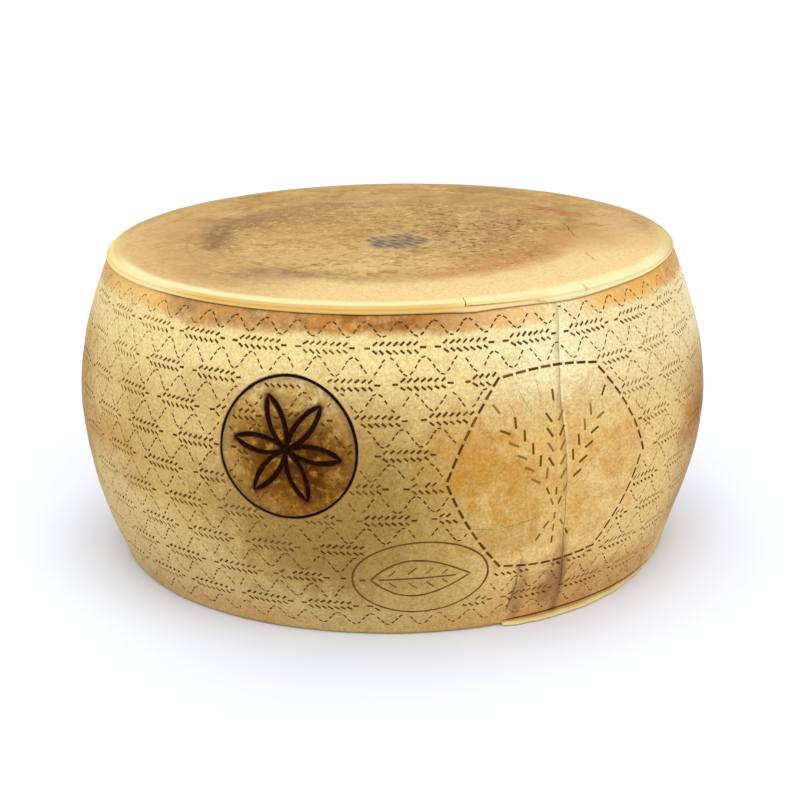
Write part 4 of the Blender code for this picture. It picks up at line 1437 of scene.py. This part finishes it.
def shape_rind(piece):
    """Takes the spun body out of true, and marks its cream rim and the dark line under it."""
    places = vertex_places(piece)
    x, y, z = places.T
    radius, angle = np.hypot(x, y), np.arctan2(x, -y)
    on_side = radius > TOP_REACH
    rim = on_side & (z > LINE_Z + 0.2 * MM)
    line = np.where(on_side, bump(z, LINE_Z, LINE_REACH), 0.0) * line_strength(angle)
    on_top = (z > HEIGHT - 0.01 * MM) & (radius < TOP_REACH + 0.1 * MM)
    # One column of faces is bent to follow the seam, so that its step has a clean edge
    angle = angle + (seam_angle(z) - SEAM_COLUMN) * bump(angle, SEAM_COLUMN, SEAM_WARP) * on_side
    out = (rind_radius(angle, z) - side_radius(z)) * np.minimum(radius / EDGE_RADIUS, 1.0) ** 3
    shallow = (1 - line_strength(angle) / LINE_DARKEST) * LINE_SHALLOWER
    radius = radius + out * (radius > 1 * MM) + shallow * bump(z, LINE_Z, LINE_REACH) * on_side
    sag = line_sag(angle) * bump(z, LINE_Z, 3.0 * MM) * on_side
    x, y = radius * np.sin(angle), -radius * np.cos(angle)
    height = np.where(on_top, top_height(x, y) + top_lumps(x, y), z - sag)
    set_places(piece, np.stack([x, y, height], 1))
    set_attribute(piece, "lip", rim.astype(float))
    set_attribute(piece, "groove", line)


def foot_lip_parts():
    """Points and faces of the lip pressed out at the foot, lofted along its reach."""
    rings = []
    for k in range(FOOT_LIP_STEPS + 1):
        angle = FOOT_LIP_START + (FOOT_LIP_END - FOOT_LIP_START) * k / FOOT_LIP_STEPS
        start = min(1.0, 0.7 + 0.1 * k)
        reach = FOOT_LIP_REACH * float(bump(angle, FOOT_LIP_CREST, FOOT_LIP_SPREAD)) * start + 0.2 * MM
        reach += (0.25 * math.sin(41 * angle) + 0.2 * math.sin(97 * angle)) * MM * min(k / 4, 1.0)
        inner = EDGE_RADIUS - 14 * MM
        outer = EDGE_RADIUS + float(unevenness(angle, 0.0)) + reach
        low, high = FOOT_LIP_LIFT, FOOT_LIP_LIFT + FOOT_LIP_HEIGHT + 0.3 * math.sin(37 * angle) * MM
        outline = (
            (inner, low), (outer - 1.3 * MM, low), (outer - 0.3 * MM, low + 0.4 * MM),
            (outer, low + 1.1 * MM), (outer - 0.3 * MM, high - 1.4 * MM),
            (outer - 1.0 * MM, high - 0.9 * MM), (outer - 2.4 * MM, high - 0.6 * MM), (inner, high),
        )
        rings.append([(r * math.sin(angle), -r * math.cos(angle), z) for r, z in outline])
    return lofted(rings)


def smooth_path(points, steps):
    """More places along a line of points, on a smooth curve through them."""
    points = np.asarray(points, float)
    found = []
    for k in range(len(points) - 1):
        before, after = points[max(k - 1, 0)], points[min(k + 2, len(points) - 1)]
        for n in range(steps):
            s = n / steps
            flat = 3 * s**2 - 2 * s**3
            spot = points[k] * (1 - flat) + points[k + 1] * flat
            leaving = (points[k + 1] - before) * (s**3 - 2 * s**2 + s)
            arriving = (after - points[k]) * (s**3 - s**2)
            found.append(spot + 0.5 * (leaving + arriving))
    return np.array(found + [points[-1]])


def wandering(path, amount):
    """The path with a small sideways wander, as a hand-pressed seam has."""
    wander = np.sin(path[:, 1] * 260) * 0.6 + np.sin(path[:, 1] * 610 + 1.0) * 0.4
    path = path.copy()
    path[:, 0] += wander * amount / WIDEST_RADIUS
    return path


def on_rind(points):
    """Angles and heights in radians and metres, from degrees and mm, with what else a point has."""
    return [(math.radians(angle), height * MM, *rest) for angle, height, *rest in points]


def cut_seams(wheel):
    """Sinks the seam, the crease, the furrow over the foot lip, the fold and the scratches."""
    for seam, kind in ((SEAM, "seam"), (CREASE, "crease")):
        path = smooth_path(on_rind(seam), 8)
        line = wandering(path[:, :2], SEAM_WANDER)
        cut_with(wheel, *rind_sweep(line, groove_section(*SEAM_GROOVE), sizes=path[:, 2] * MM), kind)
    shares = np.linspace(0, 1, FOOT_LIP_STEPS + 1)
    turns = FOOT_LIP_START + (FOOT_LIP_END - FOOT_LIP_START) * shares
    heights = np.full(len(shares), FOOT_LIP_LIFT + FOOT_LIP_HEIGHT + FURROW_RISE)
    sizes = np.minimum(1.0, np.minimum(0.35 + 8 * shares, 0.3 + 2.2 * (1 - shares)))
    path = np.stack([turns, heights], 1)
    cut_with(wheel, *rind_sweep(path, groove_section(*FURROW), sizes=sizes), "furrow")
    fold = smooth_path(on_rind(FOLD), 6)
    sizes = np.minimum(1.0, 0.3 + 4 * np.linspace(0, 1, len(fold)))
    lifted = [(side, out + LIP_PROUD) for side, out in groove_section(*FOLD_GROOVE)]
    cut_with(wheel, *rind_sweep(fold, lifted, sizes=sizes), "fold")
    shares = np.linspace(0, 1, 9)[:, None]
    sizes = 0.25 + 0.75 * np.sin(np.pi * shares[:, 0])
    for *ends, width in SCRATCHES:
        start, end = np.array(on_rind((ends[:2], ends[2:])))
        section = groove_section(width * MM, SCRATCH_DEPTH)
        cut_with(wheel, *rind_sweep(start + (end - start) * shares, section, sizes=sizes), "scratch")


def over_rim(angle, along):
    """A place on the rim's curve and the outward direction there. See NICKS for along."""
    reach = lip_radius() - TOP_REACH
    if along < 0:
        radius, z, lean = TOP_REACH + along * MM, HEIGHT, (0.0, 1.0)
    elif along > 1:
        radius, z, lean = lip_radius(), LIP_TOP - (along - 1) * MM, (1.0, 0.0)
    else:
        turn = along * math.pi / 2
        radius, z = TOP_REACH + reach * math.sin(turn), LIP_TOP + RIM_DROP * math.cos(turn)
        lean = (math.sin(turn) / reach, math.cos(turn) / RIM_DROP)
    out = float(rind_radius(angle, z) - side_radius(z)) * min(radius / EDGE_RADIUS, 1.0) ** 3
    way = Vector((lean[0] * math.sin(angle), -lean[0] * math.cos(angle), lean[1])).normalized()
    return ((radius + out) * math.sin(angle), -(radius + out) * math.cos(angle), z), tuple(way)


def pit(x, y, size, stretch, draw):
    """A cutter for one small ragged pit in the top face."""
    turns = [TURN * n / PIT_SIDES for n in range(PIT_SIDES)]
    spots = [(draw.uniform(*RAGGED) * math.cos(t), draw.uniform(*RAGGED) * math.sin(t)) for t in turns]
    z = float(top_height(x, y) + top_lumps(x, y))
    rings = [
        [(x + size * stretch * wide * u, y + size * wide * v, z + rise) for u, v in spots]
        for wide, rise in ((1.0, 1 * MM), (1.0, 0.0), (0.5, -0.6 * size))
    ]
    return lofted(rings)


def cut_top(wheel):
    """Sinks the cracks, the nicks across the rim and the small pits of the top face."""
    for crack in CRACKS:
        path = smooth_path([(x * MM, y * MM) for x, y in crack], 8)
        path[:, 0] += 0.5 * MM * np.sin(path[:, 1] * 400) + 0.3 * MM * np.sin(path[:, 1] * 1100 + 1.0)
        heights = top_height(path[:, 0], path[:, 1]) + top_lumps(path[:, 0], path[:, 1])
        upward = np.tile((0.0, 0.0, 1.0), (len(path), 1))
        sizes = 0.2 + 0.8 * np.abs(np.sin(np.pi * np.linspace(0, 1, len(path)))) ** 0.7
        places = np.column_stack([path, heights])
        cut_with(wheel, *swept(places, upward, groove_section(*CRACK), sizes=sizes), "crack")
    for nick in NICKS:
        stations = smooth_path([(math.radians(angle), along) for angle, along in nick], 3)
        frames = [over_rim(angle, along) for angle, along in stations]
        places, outward = (np.array(part) for part in zip(*frames))
        sizes = 0.3 + 0.7 * np.sin(np.pi * np.linspace(0.08, 0.85, len(stations)))
        cut_with(wheel, *swept(places, outward, groove_section(*NICK), sizes=sizes), "nick")
    draw = random.Random(PRICK_SEED + 1)
    crack_points = [(x * MM, y * MM) for crack in CRACKS for x, y in crack]
    middles, parts = [], []
    while len(parts) < PITS:
        angle = draw.uniform(0, TURN)
        radius = draw.choice((draw.uniform(0.03, 0.17), draw.gauss(0.075, 0.02)))
        spot = (radius * math.sin(angle), -radius * math.cos(angle))
        size, stretch = draw.uniform(*PIT_SIZES), draw.uniform(*PIT_STRETCHES)
        off = math.hypot(*((spot[k] - PLATE_MIDDLE[k]) / PLATE_HALF[k] for k in (0, 1)))
        away = all(math.dist(spot, middle) > PIT_APART for middle in middles)
        by_crack = any(math.dist(spot, point) < PIT_OFF_CRACK for point in crack_points)
        if away and off > PIT_OFF_PLATE and PIT_REACH[0] < radius < PIT_REACH[1] and not by_crack:
            middles.append(spot)
            parts.append(pit(*spot, size, stretch, draw))
    cut_with(wheel, *joined(parts), "pit")


def rosette_sweeps(section):
    """The rosette's lines, each with the section that its burn's width and depth give."""
    place = laid(ROSETTE_AT, ROSETTE_TILT)
    sweeps = []
    for points, closed, burn in rosette_lines():
        path, sizes = [place(*spot) for spot in points], burn_widths(points, closed)
        sweeps.append(rind_sweep(path, section(*burn), closed, sizes))
    return sweeps


def leaf_sweeps(section):
    """The lines of the oval and its leaf, with one section."""
    place = laid(OVAL_AT, OVAL_TILT)
    return [
        rind_sweep([place(*spot) for spot in points], section, closed)
        for points, closed in leaf_lines()
    ]


def cut_marks(wheel):
    """Sinks the rosette, the oval with its leaf, and every dash."""
    for groove in rosette_sweeps(groove_section):
        cut_with(wheel, *groove, "burn")
    for groove in leaf_sweeps(groove_section(OVAL_WIDTH, OVAL_DEPTH)):
        cut_with(wheel, *groove, "leaf")
    cut_with(wheel, *dash_copies(all_dashes()), "dash")


def dull_faces(piece):
    """Gives the top face and the burnt disc the dull finish, the piece's last material."""
    faces = piece.data.polygons
    centres = np.empty(len(faces) * 3)
    faces.foreach_get("center", centres)
    x, y, z = centres.reshape(-1, 3).T
    right = (np.arctan2(x, -y) - math.radians(ROSETTE_AT[0])) * float(side_radius(ROSETTE_AT[1] * MM))
    inside = np.hypot(right, z - ROSETTE_AT[1] * MM) < ROSETTE_RING
    on_top = (np.hypot(x, y) < DULL_RADIUS) & (z > LINE_Z)
    last = len(piece.data.materials) - 1
    dull = on_top | (inside & (np.hypot(x, y) > TOP_REACH))
    faces.foreach_set("material_index", np.where(dull, last, 0))


def dress(piece, replaced=None):
    """Gives a finished piece to the wheel's body, and hides the part that it stands for."""
    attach(piece, BODY)
    if replaced:
        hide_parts(replaced)


def shade(piece, degrees):
    make_active(piece)
    bpy.ops.object.shade_smooth_by_angle(angle=math.radians(degrees), keep_sharp_edges=False)


# What a user can change

def colour_setting(name, description, code):
    return bpy.props.FloatVectorProperty(
        name=name, description=description, default=hexed(code), subtype="COLOR", size=4,
        min=0.0, max=1.0
    )


class CheeseSettings(bpy.types.PropertyGroup):
    steps: bpy.props.IntProperty(
        name="Steps Round", description="Faces round the wheel", default=220, min=60, max=360
    )
    lining_top: bpy.props.FloatProperty(
        name="Lining Level", description="Share of a mark's depth that lies over its dark lining",
        default=0.3, min=0.1, max=0.6, subtype="FACTOR",
    )
    gold_light: colour_setting("Light Gold", "The lighter of the rind's two golden colours", "#ceb173")
    gold_deep: colour_setting("Deep Gold", "The deeper of the rind's two golden colours", "#be9b57")
    # The cream is painted highlight over the front of the rim's curve.
    cream: colour_setting("Cream", "Colour of the rubbed edges", "#dfd4a0")
    char: colour_setting("Char", "Colour of the burnt lines", "#1e0b03")
    casein: colour_setting("Casein", "Colour of the plate's ridges", "#523a24")


# Operators

class CHEESE_OT_wheel(bpy.types.Operator):
    """Add the wheel with its grained rind and every mark sunk in it"""

    bl_idname = "cheese.wheel"
    bl_label = "Wheel"

    def execute(self, context):
        settings = context.scene.cheese
        rind = rind_material(settings, "oiled_cheese_rind", 0.12)
        dull = rind_material(settings, "dull_cheese_rind", 0.02)
        wheel = spun("wheel_rind", wheel_profile(), settings.steps)
        wheel.data.materials.append(rind)
        shape_rind(wheel)
        lip = mesh_piece("foot_lip", *foot_lip_parts())
        lip.data.materials.append(rind)
        mark_layer(lip, FOOT_LIP_CREAM, 0.0)
        boolean(wheel, lip, "UNION")
        cut_seams(wheel)
        cut_top(wheel)
        cut_marks(wheel)
        cut_with(wheel, *plate_recess(), "plate_seat")
        wheel.data.materials.append(dull)
        dull_faces(wheel)
        shade(wheel, SHARP_DEGREES["wheel"])
        dress(wheel, "cheese_wheel")
        return {"FINISHED"}


class CHEESE_OT_pressed_marks(bpy.types.Operator):
    """Add the dark bottoms of the pricked rows, the sheaf and the leaf"""

    bl_idname = "cheese.pressed_marks"
    bl_label = "Pressed Marks"

    def execute(self, context):
        sink = context.scene.cheese.lining_top
        rows = all_dashes()
        parts = [dash_copies(rows[rows[:, 6] == tone], sink) for tone in range(3)]
        section = [(side * OVAL_WIDTH, out * OVAL_DEPTH) for side, out in OVAL_LINING]
        parts[1] = joined([parts[1], *leaf_sweeps(section)])
        marks = mesh_piece("pressed_marks", *joined(parts))
        tones = ("pressed_dark", "#563510"), ("pressed_brown", "#6b491b"), ("pressed_worn", "#8e6a34")
        for name, code in tones:
            marks.data.materials.append(plain_material(name, code, 0.9, 0.02))
        counts = [len(faces) for _, faces in parts]
        marks.data.polygons.foreach_set("material_index", np.repeat(range(3), counts))
        dress(marks)
        return {"FINISHED"}


class CHEESE_OT_burnt_rosette(bpy.types.Operator):
    """Add the burnt layer that lies in the rosette's lines"""

    bl_idname = "cheese.burnt_rosette"
    bl_label = "Burnt Rosette"

    def execute(self, context):
        pieces = [mesh_piece("burnt_rosette", *layer) for layer in rosette_sweeps(lining_section)]
        rosette = pieces[0]
        for other in pieces[1:]:
            boolean(rosette, other, "UNION")
        rosette.data.materials.clear()
        rosette.data.materials.append(char_material(context.scene.cheese))
        shade(rosette, SHARP_DEGREES["rosette"])
        dress(rosette)
        return {"FINISHED"}


def plate_recess():
    """Cutter for the plate's seat in the top face, a little small, so that no gap shows round it."""
    turns = np.linspace(0, TURN, PLATE_SEAT_SIDES, endpoint=False)
    x = PLATE_MIDDLE[0] + (PLATE_HALF[0] - PLATE_LAPPED) * np.cos(turns)
    y = PLATE_MIDDLE[1] + (PLATE_HALF[1] - PLATE_LAPPED) * np.sin(turns)
    levels = PLATE_LOW[2] - PLATE_SEAT_GAP, HEIGHT + 4 * MM
    return lofted([np.column_stack([x, y, np.full(PLATE_SEAT_SIDES, level)]) for level in levels])


def plate_relief(right, up):
    """How far each place is on a rib and on the plate's edge. Places are shares of its half sizes."""
    far = np.hypot(right, up)
    x, y = right * PLATE_HALF[0], up * PLATE_HALF[1]
    across = x * math.cos(RIB_TURN) + y * math.sin(RIB_TURN)
    along = -x * math.sin(RIB_TURN) + y * math.cos(RIB_TURN)
    around = np.arctan2(y, x)
    bent = across + 1.3 * MM * np.sin(along * 130 + 60 * across)
    bent = bent + 0.6 * MM * np.sin(along * 340 + 150 * across)
    cross = np.sin(TURN * along / (2.3 * RIB_PITCH) + 2.2 * np.sin(across * 240))
    cross = cross + 0.7 * np.sin(along * 730 + across * 510)
    ridge = 1 / (1 + np.exp(-(np.cos(TURN * bent / RIB_PITCH) - 0.2 + 0.6 * cross) * 3))
    ragged = sum(deep * np.sin(times * around + phase) for deep, times, phase in PLATE_RAGGED)
    edge = np.clip((far - PLATE_EDGE[0] - ragged) / PLATE_EDGE[1], 0, 1) ** 1.3
    return ridge * np.clip((RIBS_END[0] - far) / RIBS_END[1], 0, 1), edge


class CHEESE_OT_casein_plate(bpy.types.Operator):
    """Add the ribbed casein plate that is sunk in the top face"""

    bl_idname = "cheese.casein_plate"
    bl_label = "Casein Plate"

    def execute(self, context):
        deselect_all()
        bpy.ops.mesh.primitive_grid_add(
            x_subdivisions=PLATE_GRID[0], y_subdivisions=PLATE_GRID[1], size=2.0
        )
        plate = context.object
        plate.name = plate.data.name = "ribbed_casein_plate"
        u, v, _ = vertex_places(plate).T
        right, up = u * np.sqrt(1 - v * v / 2), v * np.sqrt(1 - u * u / 2)
        ridge, edge = plate_relief(right, up)
        x, y = PLATE_MIDDLE[0] + right * PLATE_HALF[0], PLATE_MIDDLE[1] + up * PLATE_HALF[1]
        relief = RIB_HEIGHT * ridge * (1 - edge) + PLATE_EDGE_RISE * edge
        set_places(plate, np.column_stack([x, y, PLATE_HIGH[2] - RIB_FOOT + relief]))
        set_attribute(plate, "ridge", np.clip(ridge, 0, 1))
        set_attribute(plate, "edge", edge)
        make_active(plate)
        bpy.ops.object.mode_set(mode="EDIT")
        bpy.ops.mesh.select_all(action="SELECT")
        bpy.ops.mesh.extrude_region_move(TRANSFORM_OT_translate={"value": (0, 0, -0.2 * MM)})
        bpy.ops.object.mode_set(mode="OBJECT")
        places = vertex_places(plate)
        chosen = np.empty(len(places), bool)
        plate.data.vertices.foreach_get("select", chosen)
        places[chosen, 2] = PLATE_LOW[2]
        set_places(plate, places)
        face_outwards(plate)
        plate.data.materials.append(casein_material(context.scene.cheese))
        shade(plate, SHARP_DEGREES["plate"])
        dress(plate, "casein_plate")
        return {"FINISHED"}


class CHEESE_OT_stage(bpy.types.Operator):
    """Add the pale floor, the soft studio lights and the camera"""

    bl_idname = "cheese.stage"
    bl_label = "Stage"

    def execute(self, context):
        scene = context.scene
        scene.view_settings.view_transform = "Standard"
        deselect_all()
        bpy.ops.mesh.primitive_plane_add(size=40.0)
        floor = context.object
        floor.name = "floor"
        floor.data.materials.append(plain_material("floor_white", FLOOR_WHITE, 0.95, 0.1))
        floor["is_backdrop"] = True
        world = bpy.data.worlds.new("studio")
        scene.world = world
        world.use_nodes = True
        background = world.node_tree.nodes["Background"]
        fill(world.node_tree, background, {"Color": hexed("#ffffff"), "Strength": WORLD_STRENGTH})
        for name, turn, rise, power, spread in LAMPS:
            turn, rise = math.radians(turn), math.radians(rise)
            flat = math.cos(rise)
            away = Vector((math.sin(turn) * flat, -math.cos(turn) * flat, math.sin(rise)))
            bpy.ops.object.light_add(type="SUN", location=away * 3)
            lamp = context.object
            lamp.name = lamp.data.name = name
            lamp.data.angle = math.radians(spread)
            lamp.data.energy = power
            lamp.rotation_euler = away.to_track_quat("Z", "Y").to_euler()
        add_camera(scene)
        return {"FINISHED"}


def add_camera(scene):
    """A camera that sees the wheel as the photograph does."""
    data = bpy.data.cameras.new("camera")
    camera = bpy.data.objects.new("camera", data)
    scene.collection.objects.link(camera)
    data.sensor_width = SENSOR
    data.lens = VIEW_FOCAL / PHOTO_SIZE * SENSOR
    data.shift_x = (PHOTO_SIZE / 2 - VIEW_CENTRE[0]) / PHOTO_SIZE
    data.shift_y = (VIEW_CENTRE[1] - PHOTO_SIZE / 2) / PHOTO_SIZE
    data.clip_end = 100.0
    back = Vector((0.0, -math.cos(VIEW_ELEVATION), math.sin(VIEW_ELEVATION))) * VIEW_DISTANCE
    tilt = Matrix.Rotation(math.pi / 2 - VIEW_ELEVATION, 4, "X")
    roll = Matrix.Rotation(VIEW_ROLL, 4, "Z")
    camera.matrix_world = Matrix.Translation(back + Vector((0, 0, HEIGHT / 2))) @ tilt @ roll
    scene.camera = camera


class CHEESE_PT_panel(bpy.types.Panel):
    bl_label = "Cheese Wheel"
    bl_idname = "CHEESE_PT_panel"
    bl_space_type = "VIEW_3D"
    bl_region_type = "UI"
    bl_category = "Cheese"

    def draw(self, context):
        settings = context.scene.cheese
        for name in CheeseSettings.__annotations__:
            self.layout.prop(settings, name)
        for operator in OPERATORS:
            self.layout.operator(operator.bl_idname)


OPERATORS = (
    CHEESE_OT_wheel, CHEESE_OT_pressed_marks, CHEESE_OT_burnt_rosette, CHEESE_OT_casein_plate,
    CHEESE_OT_stage,
)
CLASSES = (CheeseSettings, *OPERATORS, CHEESE_PT_panel)


def register():
    for cls in CLASSES:
        bpy.utils.register_class(cls)
    bpy.types.Scene.cheese = bpy.props.PointerProperty(type=CheeseSettings)


def unregister():
    del bpy.types.Scene.cheese
    for cls in reversed(CLASSES):
        bpy.utils.unregister_class(cls)


def main():
    register()
    bpy.ops.cheese.wheel()
    bpy.ops.cheese.pressed_marks()
    bpy.ops.cheese.burnt_rosette()
    bpy.ops.cheese.casein_plate()
    bpy.ops.cheese.stage()
    boxes = {"cad": CAD_BOX, "visual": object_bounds()}
    boxes = {name: [list(map(float, corner)) for corner in box] for name, box in boxes.items()}


if __name__ == "__main__":
    main()
